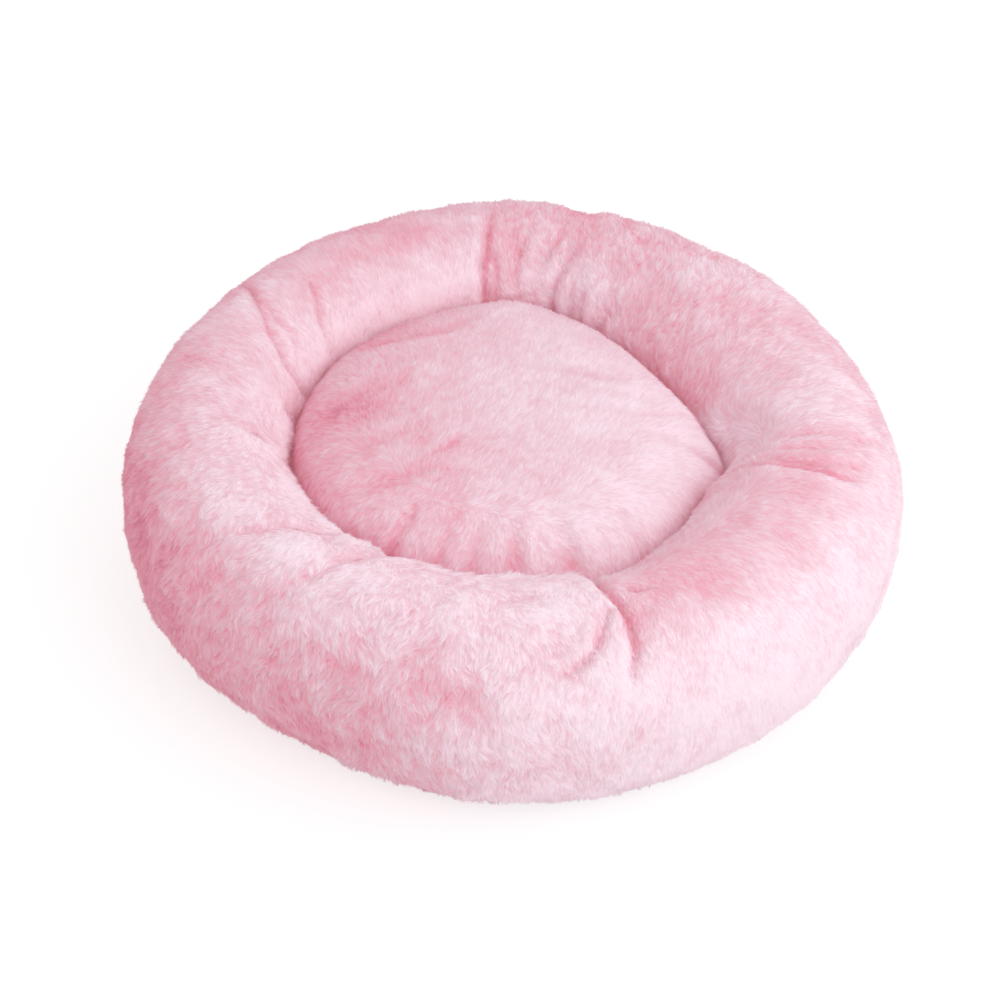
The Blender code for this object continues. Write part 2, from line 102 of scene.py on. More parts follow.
# Folds drawn across the ring. A path's places are (turn share, section share, strength share).
# The lip stands on the side of higher turns where lip_side is 1, and of lower turns where -1.
Fold = namedtuple("Fold", "path depth width lip lip_side")
RING_FOLDS = (
    # The back seam, with a flap standing to its left and hollows to its right
    Fold(
        ((0.2615, 0.53, 0.2), (0.2646, 0.453, 0.8), (0.267, 0.393, 1.0), (0.270, 0.37, 1.0),
         (0.270, 0.24, 0.8)),
        0.011, 0.0045, 0.0035, 1,
    ),
    Fold(((0.261, 0.40, 0.3), (0.261, 0.38, 1.0), (0.261, 0.28, 0.7)), 0.0060, 0.0032, 0.001, -1),
    Fold(((0.251, 0.54, 0.4), (0.251, 0.42, 1.0), (0.256, 0.28, 0.8)), 0.0030, 0.014, 0.0, 1),
    # The slanting wrinkles down the wall of the hole, to the right of the seam
    Fold(
        ((0.236, 0.455, 0.5), (0.242, 0.415, 1.0), (0.246, 0.38, 1.0), (0.249, 0.34, 0.5)),
        0.0055, 0.0035, 0.0015, -1,
    ),
    Fold(
        ((0.216, 0.45, 0.5), (0.223, 0.41, 1.0), (0.2265, 0.38, 1.0), (0.230, 0.36, 0.5)),
        0.0055, 0.0035, 0.0015, -1,
    ),
    Fold(
        ((0.2035, 0.43, 0.4), (0.209, 0.40, 0.8), (0.2145, 0.36, 1.0), (0.2175, 0.33, 1.0),
         (0.218, 0.27, 0.8)),
        0.0075, 0.0038, 0.0020, -1,
    ),
    Fold(((0.203, 0.35, 0.4), (0.202, 0.33, 1.0), (0.2015, 0.27, 0.8)), 0.0050, 0.0032, 0.001, -1),
    Fold(((0.188, 0.365, 0.4), (0.193, 0.335, 1.0), (0.194, 0.27, 0.8)), 0.0065, 0.0035, 0.002, -1),
    Fold(((0.160, 0.34, 0.3), (0.1675, 0.33, 1.0), (0.174, 0.28, 0.8)), 0.0045, 0.0035, 0.001, -1),
    Fold(((0.2175, 0.465, 0.4), (0.210, 0.48, 1.0), (0.2015, 0.50, 0.4)), 0.0035, 0.0050, 0.001, 1),
    # The back left folds, which start at a dark dent on the crest
    Fold(
        ((0.408, 0.60, 0.3), (0.416, 0.53, 1.0), (0.433, 0.46, 0.8), (0.444, 0.41, 1.0),
         (0.453, 0.36, 1.0), (0.450, 0.29, 0.7)),
        0.0090, 0.0042, 0.0020, 1,
    ),
    Fold(
        ((0.421, 0.48, 0.5), (0.4305, 0.43, 1.0), (0.4305, 0.395, 1.0), (0.4355, 0.36, 0.6)),
        0.0055, 0.0034, 0.0012, 1,
    ),
    Fold(
        ((0.391, 0.47, 0.4), (0.391, 0.435, 1.0), (0.397, 0.40, 1.0), (0.404, 0.37, 1.0),
         (0.409, 0.31, 0.5)),
        0.0065, 0.0035, 0.0012, 1,
    ),
    Fold(((0.474, 0.60, 0.4), (0.477, 0.555, 1.0), (0.489, 0.47, 0.5)), 0.0045, 0.0090, 0.0, 1),
    Fold(((0.506, 0.55, 0.5), (0.508, 0.52, 1.0), (0.517, 0.44, 0.5)), 0.0025, 0.0080, 0.0, 1),
    # The two soft folds at the front left
    Fold(
        ((0.602, 0.63, 0.3), (0.610, 0.56, 0.8), (0.618, 0.51, 1.0), (0.628, 0.45, 0.9),
         (0.640, 0.36, 0.6)),
        0.0050, 0.0080, 0.0010, 1,
    ),
    Fold(
        ((0.643, 0.63, 0.2), (0.655, 0.57, 0.8), (0.661, 0.515, 1.0), (0.669, 0.45, 1.0),
         (0.676, 0.36, 0.8)),
        0.0062, 0.0075, 0.0012, 1,
    ),
    # The pair of deep folds at the front corner of the hole, with a lobe between them
    Fold(
        ((0.7925, 0.36, 0.9), (0.794, 0.463, 1.0), (0.796, 0.49, 1.0), (0.798, 0.51, 1.0),
         (0.7986, 0.545, 1.0), (0.7975, 0.60, 0.9), (0.7945, 0.627, 0.5), (0.7925, 0.645, 0.1)),
        0.0130, 0.0040, 0.0020, -1,
    ),
    Fold(
        ((0.791, 0.515, 0.7), (0.786, 0.554, 1.0), (0.7825, 0.58, 1.0), (0.778, 0.60, 0.9),
         (0.770, 0.617, 0.6), (0.7625, 0.63, 0.2)),
        0.0085, 0.0036, 0.0025, -1,
    ),
    Fold(((0.804, 0.60, 0.4), (0.805, 0.55, 1.0), (0.806, 0.48, 0.8)), 0.0040, 0.0110, 0.0, 1),
    Fold(((0.799, 0.44, 0.8), (0.808, 0.479, 1.0), (0.817, 0.488, 0.4)), 0.0060, 0.0036, 0.001, -1),
    Fold(((0.842, 0.62, 0.3), (0.840, 0.57, 1.0), (0.839, 0.50, 0.8)), 0.0030, 0.0130, 0.0, 1),
    # The deep fold on the right, where the front section's edge lies over the back one
    Fold(
        ((0.925, 0.34, 1.0), (0.9255, 0.43, 1.0), (0.927, 0.46, 1.0), (0.9285, 0.49, 1.0),
         (0.931, 0.518, 1.0), (0.932, 0.545, 0.9), (0.934, 0.566, 0.7), (0.9395, 0.59, 0.3)),
        0.0130, 0.0038, 0.0036, -1,
    ),
    Fold(
        ((0.9355, 0.415, 0.4), (0.9335, 0.46, 1.0), (0.936, 0.513, 1.0), (0.9395, 0.54, 0.4)),
        0.0058, 0.0030, 0.0020, 1,
    ),
    Fold(
        ((0.942, 0.40, 0.4), (0.943, 0.45, 0.8), (0.948, 0.493, 1.0), (0.950, 0.535, 0.5)),
        0.0052, 0.0030, 0.0018, 1,
    ),
    Fold(((0.941, 0.535, 0.5), (0.944, 0.565, 1.0), (0.947, 0.595, 0.4)), 0.0060, 0.0030, 0.001, 1),
    Fold(((0.956, 0.44, 0.4), (0.960, 0.48, 1.0), (0.960, 0.52, 0.4)), 0.0040, 0.0035, 0.001, 1),
    Fold(((0.964, 0.57, 1.0), (0.969, 0.617, 0.4)), 0.0060, 0.0035, 0.0, 1),
)
FOLD_EDGE_POWER = 1.4
LIP_PLACE_SHARE = 2.1
LIP_WIDTH_SHARE = 1.5
SECTION_LENGTH = 0.440

# Lumps of the stuffing and of the pile: (size, height)
RING_LUMPS = ((0.070, 0.0022), (0.030, 0.0024), (0.014, 0.0021))
# How ruffled the ring's pile is: (turn share, share)
RING_RUFFLE_SHARES = (
    (0.00, 0.60), (0.06, 0.85), (0.17, 1.00), (0.24, 0.80), (0.28, 0.45), (0.36, 0.35),
    (0.46, 0.50), (0.55, 0.85), (0.66, 1.00), (0.76, 0.90), (0.82, 0.45), (0.90, 0.35),
)
# How pale the ring's pile is on the wall of the hole, on the crest and on the outside:
# (turn share, share). These are partly the pile's own tone and partly painted light and shade:
# paler where the light falls at the front right, deeper pink on the shaded back and left.
WALL_PALENESS_SHARES = (
    (0.00, 0.66), (0.05, 0.38), (0.12, 0.46), (0.17, 0.76), (0.21, 0.94), (0.25, 0.76),
    (0.29, 1.00), (0.34, 1.12), (0.42, 1.00), (0.54, 0.95), (0.60, 1.18), (0.70, 1.05),
    (0.81, 0.55), (0.88, 0.55), (0.92, 0.32), (0.96, 0.62),
)
CREST_PALENESS_SHARES = (
    (0.00, 0.84), (0.05, 0.68), (0.12, 0.58), (0.17, 0.52), (0.21, 0.40), (0.25, 0.52),
    (0.29, 0.62), (0.33, 0.34), (0.38, 0.54), (0.42, 0.66), (0.48, 0.58), (0.54, 0.80),
    (0.59, 0.98), (0.63, 1.06), (0.69, 0.98), (0.75, 1.00), (0.79, 0.88), (0.82, 0.54),
    (0.88, 0.60), (0.92, 0.52), (0.96, 0.76),
)
OUTSIDE_PALENESS_SHARES = (
    (0.00, 0.72), (0.08, 0.54), (0.17, 0.45), (0.21, 0.22), (0.25, 0.38), (0.29, 0.15),
    (0.33, 0.14), (0.42, 0.28), (0.46, 0.36), (0.54, 0.24), (0.58, 0.27), (0.62, 0.42),
    (0.67, 0.54), (0.72, 0.68), (0.77, 0.98), (0.84, 1.05), (0.92, 0.95),
)
CREST_FIRST_SHARE = 0.45
WALL_SHARE = 0.35
CREST_LAST_SHARE = 0.52
OUTSIDE_SHARE = 0.63
# Painted shade: away from the light the outside is painted deeper pink from this section down
LOW_OUTSIDE_SHARE = 0.62
LOW_OUTSIDE_REACH = 0.08
LOW_OUTSIDE_PAINTED_SHADE = 0.35
# Painted shade, deeper pink, low on the wall of the hole from this section down
UNDER_WALL_SHARE = 0.31
UNDER_WALL_PAINTED_SHADE = 0.12
# Painted shade: deeper pink in grooves by their depth against this one, and paler on raised lumps
GROOVE_PAINTED_SHADE = 0.52
GROOVE_DEPTH = 0.009
# Painted shade, deep pink, along the line where the wall of the hole and the cushion's rim meet
CONTACT_SECTION_SHARE = 0.262
CONTACT_REACH = 0.015
CONTACT_RIM_SHARE = 0.965
CONTACT_PAINTED_SHADE = 0.24
CUSHION_CONTACT_PAINTED_SHADE = 0.15
SHORTER_IN_GROOVES = 0.5
# Where the ring's pile parts, to lie inwards on one side and outwards on the other:
# (turn share, section share)
RING_PARTING_SHARES = (
    (0.00, 0.33), (0.08, 0.10), (0.25, 0.06), (0.42, 0.10), (0.50, 0.35), (0.58, 0.41),
    (0.75, 0.42), (0.88, 0.42), (0.95, 0.40),
)
PARTING_WIDTH = 0.05

# Folds of the cushion's crown. A path's places are (x share, y share, strength share), in
# shares of the hole's radius.
CUSHION_FOLDS = (
    Fold(
        ((-0.09, 0.38, 0.3), (0.03, 0.32, 0.8), (0.17, 0.28, 1.0), (0.46, 0.23, 1.0),
         (0.62, 0.30, 0.5)),
        0.0024, 0.0060, 0.0010, 1,
    ),
    Fold(
        ((0.12, 0.01, 0.5), (0.41, -0.01, 0.8), (0.54, -0.04, 1.0), (0.78, 0.03, 0.8)),
        0.0030, 0.0042, 0.0012, 1,
    ),
    Fold(((0.37, 0.13, 0.4), (0.50, 0.10, 1.0), (0.60, 0.06, 0.4)), 0.0024, 0.0040, 0.0010, 1),
    # The rolled edge at the back left
    Fold(
        ((-0.75, 0.50, 0.3), (-0.58, 0.55, 1.0), (-0.33, 0.60, 1.0), (-0.14, 0.74, 0.5)),
        0.0036, 0.0070, 0.0012, -1,
    ),
    # The small curl left of the middle, and the lines beside it
    Fold(((-0.34, -0.30, 0.4), (-0.29, -0.27, 1.0), (-0.23, -0.21, 0.5)), 0.0060, 0.0034, 0.0030, 1),
    Fold(
        ((-0.49, -0.13, 0.4), (-0.31, -0.07, 1.0), (-0.15, -0.02, 0.8), (0.03, -0.02, 0.3)),
        0.0028, 0.0050, 0.0010, 1,
    ),
    Fold(
        ((-0.86, -0.33, 0.5), (-0.67, -0.27, 1.0), (-0.53, -0.19, 1.0), (-0.40, -0.15, 0.4)),
        0.0034, 0.0055, 0.0014, 1,
    ),
    Fold(
        ((-0.94, 0.02, 0.5), (-0.80, 0.05, 1.0), (-0.67, 0.14, 1.0), (-0.50, 0.20, 0.4)),
        0.0034, 0.0080, 0.0010, 1,
    ),
    Fold(
        ((-0.76, -0.53, 0.4), (-0.56, -0.47, 1.0), (-0.38, -0.43, 0.8), (-0.21, -0.45, 0.3)),
        0.0030, 0.0070, 0.0010, 1,
    ),
    Fold(((0.09, 0.03, 0.8), (0.11, 0.05, 1.0), (0.15, 0.06, 0.3)), 0.0055, 0.0030, 0.0020, 1),
    Fold(((0.42, 0.84, 0.7), (0.46, 0.62, 1.0), (0.40, 0.42, 0.2)), 0.0018, 0.0070, 0.0, 1),
    Fold(((0.83, -0.18, 0.4), (0.88, -0.22, 1.0), (0.93, -0.24, 0.8)), 0.0050, 0.0032, 0.0010, 1),
)
CUSHION_EDGE_GATHER_SHARES = (
    (0.660, 0.16, 0.0050),
    (0.697, 0.10, 0.0055),
    (0.7215, 0.12, 0.0050),
    (0.753, 0.18, 0.0075),
    (0.775, 0.06, 0.0040),
    (0.793, 0.20, 0.0080),
    (0.845, 0.08, 0.0060),
    (0.962, 0.14, 0.0060),
)
EDGE_GATHER_POWER = 6
# Painted shade, deeper pink, in the gathers of the cushion's edge
EDGE_GATHER_PAINTED_SHADE = 5.0
CUSHION_LUMPS = ((0.060, 0.0026), (0.022, 0.0010))
# The way the cushion's pile lies in the middle. Near the rim it lies outwards.
CUSHION_NAP = (0.50, 0.86, 0.0)

# The lining under the cushion and the cloth under the bed. A cut is the flat disc's diameter.
LINING_THICKNESS = 0.0008
LINING_GATHERS = 58
LINING_GATHER_DEPTH = 0.0025
BASE_INSET = 0.034
BASE_WAVE_SIZE = 0.030
BASE_WAVE_DEPTH = 0.0006

# Fineness
RING_TURN_STEPS = 780
RING_SECTION_STEPS = 120
CUSHION_TURN_STEPS = 300
CUSHION_PROFILE_STEPS = 120
LINING_PROFILE_STEPS = 32
BASE_PROFILE_STEPS = 40
RING_PILE_PIECES = 10
CUSHION_PILE_PIECES = 2

# Pile
STRAND_SIDES = 3
STRAND_VERTICES = 4
RIDGE_VERTEX = 2
RING_STRANDS = 430_000
CUSHION_STRANDS = 110_000
STRAND_WIDTH = 0.0008
STRAND_LENGTH = 0.0068
STRAND_LEAN = math.radians(72)
# How far the pile keeps to the form without folds, in how it stands
FORM_SHARE = 0.5
TUFT_SIZE = 0.0070
# How far a tuft's edge leans away from its middle, and where it is neither pale nor deep: inside
# that its middle is painted paler, outside it its edge gets painted shade
TUFT_DOME = 0.35
TUFT_MIDDLE_SHARE = 0.38
# Within a tuft the strands stand in small clumps, with painted shade, deeper pink, between them
CLUMP_SIZE = 0.0031
CLUMP_DRAW = 0.5
CLUMP_DOME = 0.30
HIDDEN_PILE_SHARE = 0.5
# How sharply a strand that would cross a fold ends in it, and how far tips follow the skin
CROSSING_SHARPNESS = 8
MOST_FOLLOWED = 0.006
# Pile where the cushion and the ring meet stands up more, and is longer on the cushion
UPRIGHT_SHARE = 0.7
LONGER_AT_RIM = 0.4
# Curls of the pile with partings between them: (size, share). The partings are bent by noise.
CURLS = ((0.0280, 0.3), (0.0140, 0.4), (0.0075, 0.3))
CURL_PARTING_SHARE = 0.14
CURL_BEND_SIZE = 0.022
CURL_BEND = 0.006
# How far the tips sink in a parting, as a share of their height, and how much painted shade,
# deeper pink, it gets
CURL_SINK_SHARE = 0.8
CURL_PAINTED_SHADE = 0.42
# How far a curl's side tilts the light that falls on it
CURL_TILT = 0.25
# How much of the pile's contrast is left where it isn't ruffled at all
SMOOTH_CONTRAST_SHARE = 0.45
MIDDLE_HEIGHT_SHARE = 0.6
RANDOM_SEED = 11

# Colours, linear
PILE_TIP = (0.96, 0.78, 0.86)
PILE_ROOT = (0.70, 0.30, 0.385)
# The deepest painted shade, deeper still than the root, reached at this share below it
PILE_PAINTED_DEEP_SHADE = (0.56, 0.17, 0.25)
DEEP_SHARE = 0.4
# Paler to the tip: the deep pink at the roots is partly the fibres' own colour and partly painted
# shade for the shadows strands would cast on one another
PALER_TO_THE_TIP = 0.5
# Painted glow: deep pink light given off where the pile is deepest, fading out by this share, in
# place of light passed on between the fibres
PILE_PAINTED_GLOW = (0.12, 0.045, 0.05)
PAINTED_GLOW_SHARE = 0.6
LINING_PINK = (0.72, 0.42, 0.50)
BASE_PINK = (0.62, 0.36, 0.43)
GRIP_GREY = (0.55, 0.52, 0.52)
FLOOR_WHITE = (0.86, 0.86, 0.86)
FLOOR_SEEN = (0.42, 0.42, 0.42)
FLOOR_LIFT = (0.64, 0.64, 0.64)

# Camera, from fitting the ring to the photograph's outline
IMAGE_SIZE = 1000
OPTICAL_AXIS_X = 511.8
OPTICAL_AXIS_Y = 456.5
FOCAL_PIXELS = 1657.08
CAMERA_DISTANCE = 1.3
CAMERA_ELEVATION = math.radians(40.333)
AIM_HEIGHT = 0.084
SENSOR_WIDTH = 36.0


def round_curve(points, turn):
    """A smooth closed curve through (turn, value) points, read at the given turns.

    Each stretch is a cubic whose slope at a point is that of the line between its neighbours.
    """
    places = np.array([place for place, value in points])
    values = np.array([value for place, value in points])
    turn = np.mod(turn, 1.0)
    left = np.searchsorted(places, turn, side="right") - 1
    right = (left + 1) % len(places)
    ahead = np.mod(np.roll(places, -1) - places, 1.0)
    behind = np.roll(ahead, 1)
    slopes = (np.roll(values, -1) - np.roll(values, 1)) / (ahead + behind)
    length = ahead[left]
    way = np.mod(turn - places[left], 1.0) / length
    start_weight = 2 * way**3 - 3 * way**2 + 1
    return (
        start_weight * values[left]
        + (way**3 - 2 * way**2 + way) * length * slopes[left]
        + (1 - start_weight) * values[right]
        + (way**3 - way**2) * length * slopes[right]
    )


def turn_gap(turn, place):
    """From a place to a turn share, the short way round, as a signed share of a turn."""
    return np.mod(turn - place + 0.5, 1.0) - 0.5


def dips(turn, table):
    """The sum of bell-shaped dips, one for each (place, depth, half-width) of a table."""
    return sum(
        depth * np.exp(-((turn_gap(turn, place) / width) ** 2)) for place, depth, width in table
    )


def signed_power(value, power):
    return np.sign(value) * np.abs(value) ** power


def unit(vectors):
    """Vectors scaled to length 1."""
    size = np.linalg.norm(vectors, axis=-1, keepdims=True)
    return vectors / np.where(size > 0, size, 1)


def dot(first, second):
    return np.sum(first * second, axis=-1, keepdims=True)


def cell_numbers(cell, seed):
    """A repeatable number from 0 to 1 for each whole-number cell of a cubic lattice.

    The cell's three numbers are multiplied by large odd numbers and added, and the sum's bits
    are mixed by shifting, exclusive or and multiplying.
    """
    x, y, z = (cell[..., axis].astype(np.uint32) for axis in range(3))
    mixed = x * np.uint32(374761393) + y * np.uint32(668265263) + z * np.uint32(3266489917)
    mixed = mixed + np.uint32(seed * 104729 + 1)
    mixed = (mixed ^ (mixed >> 13)) * np.uint32(1274126177)
    mixed = (mixed ^ (mixed >> 16)) * np.uint32(2246822519)
    return ((mixed ^ (mixed >> 15)) >> 8) / 2.0**24


def smooth_noise(points, size, seed):
    """Lumps of a given size, from -1 to 1.

    Numbers at the corners of a cubic lattice are blended along each axis by a smooth step.
    """
    scaled = points / size
    cell = np.floor(scaled).astype(np.int64)
    way = scaled - cell
    way = way * way * (3 - 2 * way)
    total = 0
    for corner in np.ndindex(2, 2, 2):
        weight = np.prod(np.where(np.array(corner) == 1, way, 1 - way), axis=-1)
        total = total + weight * cell_numbers(cell + np.array(corner), seed)
    return 2 * total - 1


def nearest_tuft(points, size, seed):
    """The nearest tuft centre to each point, and a number from 0 to 1 for that tuft.

    Each cell of a cubic lattice holds one centre at a random place, and a point looks at the
    centres of its own cell and the 26 round it.
    """
    cell = np.floor(points / size).astype(np.int64)
    best = np.full(points.shape[:-1], np.inf)
    centre = np.zeros_like(points)
    number = np.zeros(points.shape[:-1])
    for step in np.ndindex(3, 3, 3):
        near = cell + np.array(step) - 1
        place = np.stack([cell_numbers(near, seed + axis) for axis in range(3)], axis=-1)
        place = (near + place) * size
        gap = np.sum((points - place) ** 2, axis=-1)
        closer = gap < best
        best = np.where(closer, gap, best)
        centre = np.where(closer[..., None], place, centre)
        number = np.where(closer, cell_numbers(near, seed + 3), number)
    return centre, number


def fold_shape(gap, strength, fold):
    """Height of a fold over the skin: a groove of its depth, and a bell-shaped lip beside it."""
    groove = np.exp(-((np.abs(gap) / fold.width) ** FOLD_EDGE_POWER))
    lip_gap = gap * fold.lip_side / fold.width - LIP_PLACE_SHARE
    lip = np.exp(-((lip_gap / LIP_WIDTH_SHARE) ** 2))
    return strength * (fold.lip * lip - fold.depth * groove)


def path_gap(x, y, spots, strengths):
    """Signed distance to a path of straight stretches, and the path's strength at the near place.

    The path's spots are (x, y) pairs beside the points' own x and y, all in metres. The distance
    is positive on the side of higher x.
    """
    best = np.inf
    signed = 0.0
    strength = 0.0
    for number, (start, end) in enumerate(zip(spots, spots[1:])):
        across, along = end[0] - start[0], end[1] - start[1]
        start_x, start_y = x - start[0], y - start[1]
        share = (start_x * across + start_y * along) / (across**2 + along**2)
        share = np.clip(share, 0, 1)
        gap_x, gap_y = start_x - share * across, start_y - share * along
        gap = np.hypot(gap_x, gap_y)
        closer = gap < best
        best = np.where(closer, gap, best)
        side = np.sign(gap_x * along - gap_y * across) * np.where(along < 0, -1, 1)
        signed = np.where(closer, gap * side, signed)
        near = strengths[number] * (1 - share) + strengths[number + 1] * share
        strength = np.where(closer, near, strength)
    return signed, strength


def outer_radius(turn):
    return OUTER_DIAMETER / 2 * round_curve(OUTER_OUTLINE_SHARES, turn)


def throat_radius(turn):
    return THROAT_DIAMETER / 2 * round_curve(THROAT_OUTLINE_SHARES, turn)


def place_round(radius, height, turn):
    """Points at a radius and height, turned round +Z: an array of x, y and z."""
    angle = 2 * math.pi * turn
    return np.stack([radius * np.cos(angle), radius * np.sin(angle), height], axis=-1)


def grid_normals(points, closed_columns):
    """Outward unit normals of a grid whose rows go round the bed, and its two unit directions.

    The normal is the cross product of the directions along the columns and along the rows.
    """
    along_rows = np.roll(points, -1, axis=0) - np.roll(points, 1, axis=0)
    if closed_columns:
        along_columns = np.roll(points, -1, axis=1) - np.roll(points, 1, axis=1)
    else:
        along_columns = np.gradient(points, axis=1)
    normal = np.cross(along_columns, along_rows)
    return unit(normal), unit(along_rows), unit(along_columns)


def pile_directions(points, form_directions, closed_columns):
    """The directions that pile stands by: mostly those of the plain form, and less the skin's."""
    return [
        unit(plain * FORM_SHARE + own * (1 - FORM_SHARE))
        for plain, own in zip(form_directions, grid_normals(points, closed_columns))
    ]


def ring_form(turn, section, inset):
    """Points of the ring's plain stuffed form, set in from the part's surface.

    The upper and lower halves of a cross-section are superellipses about the widest height,
    and the lower one is pressed flat where the ring lies on the base cloth.
    """
    outer = outer_radius(turn)
    throat = throat_radius(turn)
    throat_inset = inset * THROAT_INSET_SHARE
    top_rise = RING_HEIGHT * round_curve(RING_HEIGHT_SHARES, turn) - WIDEST_HEIGHT - inset
    bottom_drop = WIDEST_HEIGHT + UNDERSIDE_FLATTENING
    angle = 2 * math.pi * section
    is_upper = np.cos(angle) < 0
    power = np.where(is_upper, 2 / UPPER_EXPONENT, 2 / LOWER_EXPONENT)
    across = -signed_power(np.sin(angle), power)
    rise = -signed_power(np.cos(angle), power)
    half_width = (outer - throat - inset - throat_inset) / 2
    radius = (outer + throat - inset + throat_inset) / 2 + half_width * across
    height = WIDEST_HEIGHT + np.where(is_upper, top_rise, bottom_drop) * rise
    height = UPHOLSTERY_BOTTOM + np.maximum(height, 0)
    return place_round(radius, height, turn)


def ring_skin_points():
    """The ring's skin as a closed grid: the stuffed form moved along its normals.

    Folds lower and raise it, and lumps of several sizes are added. All of this fades out
    underneath, where the ring is flat. The heights that were added are given too, and the
    directions that the pile stands by.
    """
    turn = np.arange(RING_TURN_STEPS)[:, None] / RING_TURN_STEPS
    section = np.arange(RING_SECTION_STEPS)[None, :] / RING_SECTION_STEPS
    turn, section = np.broadcast_arrays(turn, section)
    form = ring_form(turn, section, RING_PILE_DEPTH)
    normal, along_rows, along_columns = grid_normals(form, True)
    round_length = 2 * math.pi * np.hypot(form[..., 0], form[..., 1])
    move = np.zeros(turn.shape)
    for fold in RING_FOLDS:
        first = fold.path[0][0]
        spots = [
            (turn_gap(place, first) * round_length, along * SECTION_LENGTH)
            for place, along, strength in fold.path
        ]
        x, y = turn_gap(turn, first) * round_length, section * SECTION_LENGTH
        gap, strength = path_gap(x, y, spots, [place[2] for place in fold.path])
        move += fold_shape(gap, strength, fold)
    ruffle = round_curve(RING_RUFFLE_SHARES, turn)
    for seed, (size, height) in enumerate(RING_LUMPS):
        move += height * (0.55 + 0.45 * ruffle) * smooth_noise(form, size, seed)
    move = move * np.clip(np.sin(math.pi * section) * 4 - 0.9, 0, 1)
    points = form + normal * move[..., None]
    return points, move, pile_directions(points, (normal, along_rows, along_columns), True)


def cushion_form(angle, turn, inset):
    """Points of the cushion's plain form at angles from the crown's pole to the lower pole.

    The crown and the underside are superellipses about the seam, and the rim follows the
    hole's outline. It is drawn in at the seam, and gathers pull the crown's edge down.
    """
    upper = angle <= math.pi / 2
    power = np.where(upper, 2 / CUSHION_TOP_EXPONENT, 2 / CUSHION_BOTTOM_EXPONENT)
    share = np.abs(np.sin(angle)) ** power
    rise = signed_power(np.cos(angle), power)
    top_rise = CUSHION_HEIGHT - CUSHION_SEAM_HEIGHT - inset
    bottom_drop = CUSHION_SEAM_HEIGHT + CUSHION_UNDERSIDE_FLATTENING
    height = np.where(upper, top_rise, bottom_drop) * rise
    rim = throat_radius(turn) - CUSHION_CLEARANCE - inset * THROAT_INSET_SHARE
    draw = CUSHION_SEAM_DRAW * np.exp(-((height / CUSHION_SEAM_DRAW_REACH) ** 2))
    gathers = dips(turn, CUSHION_GATHER_SHARES) * share**3
    gathers = gathers + dips(turn, CUSHION_EDGE_GATHER_SHARES) * share**EDGE_GATHER_POWER
    height = height * np.where(height > 0, 1 - gathers, 1.0)
    height = UPHOLSTERY_BOTTOM + np.maximum(CUSHION_SEAM_HEIGHT + height, 0)
    return place_round(np.maximum(rim * share - draw, 0), height, turn)


def cushion_profile_angles():
    """Angles from pole to pole whose places on the profile lie evenly out from the poles.

    The share of the rim's radius grows as the sine of the way out to the rim.
    """
    way = np.linspace(0, 1, CUSHION_PROFILE_STEPS + 1)
    power = np.where(way <= 0.5, CUSHION_TOP_EXPONENT, CUSHION_BOTTOM_EXPONENT) / 2
    angle = np.arcsin(np.clip(np.sin(math.pi * way), 0, 1) ** power)
    return np.where(way <= 0.5, angle, math.pi - angle)


def cushion_skin_points():
    """The cushion's skin as a grid from pole to pole, with its folds and lumps on the crown.

    Below the seam it lies inside the lining and its gathers.
    """
    turn = np.arange(CUSHION_TURN_STEPS)[:, None] / CUSHION_TURN_STEPS
    turn, angle = np.broadcast_arrays(turn, cushion_profile_angles()[None, :])
    form = cushion_form(angle, turn, CUSHION_PILE_DEPTH)
    hole_radius = THROAT_DIAMETER / 2
    move = np.zeros(turn.shape)
    for fold in CUSHION_FOLDS:
        spots = [(across * hole_radius, along * hole_radius) for along, across, strength in fold.path]
        gap, strength = path_gap(
            form[..., 1], form[..., 0], spots, [place[2] for place in fold.path]
        )
        move += fold_shape(gap, strength, fold)
    for seed, (size, height) in enumerate(CUSHION_LUMPS):
        move += height * smooth_noise(form, size, seed + 20)
    crown = np.clip(2 - 4 * angle / math.pi, 0, 1)
    skin = form.copy()
    skin[..., 2] += move * crown * np.clip(angle * 3, 0, 1)
    gathered = LINING_GATHER_DEPTH * np.exp(-(angle - math.pi / 2) * 3)
    inside = np.where(angle > math.pi / 2, gathered + 2 * LINING_THICKNESS, 0)[..., None]
    skin -= unit(skin * np.array([1, 1, 0])) * inside
    skin[..., 2] = np.maximum(skin[..., 2], UPHOLSTERY_BOTTOM + 2 * LINING_THICKNESS)
    return skin, move * crown, pile_directions(skin, grid_normals(form, False), False)


def lining_points():
    """The lining as a grid: out along its upper side from the middle to the seam, and back below.

    Both sides are the cushion's lower half, a thickness apart. Gathers that fade away from the
    seam draw it in, as waves round the bed whose depth changes slowly.
    """
    turn = np.arange(CUSHION_TURN_STEPS)[:, None] / CUSHION_TURN_STEPS
    down = np.linspace(math.pi / 2, math.pi, LINING_PROFILE_STEPS)[None, :]
    turn, down = np.broadcast_arrays(turn, down)
    wave = np.cos(2 * math.pi * turn * LINING_GATHERS + 2 * np.sin(2 * math.pi * turn * 5))
    depth = LINING_GATHER_DEPTH * (0.5 + 0.5 * wave) * np.exp(-(down - math.pi / 2) * 3)
    outer = cushion_form(down, turn, 0)
    inner = outer - LINING_THICKNESS * unit(outer * np.array([1, 1, 0]))
    inner[..., 2] += LINING_THICKNESS
    gathered = [side - unit(side * np.array([1, 1, 0])) * depth[..., None] for side in (inner, outer)]
    return np.concatenate([gathered[0][:, ::-1], gathered[1]], axis=1)


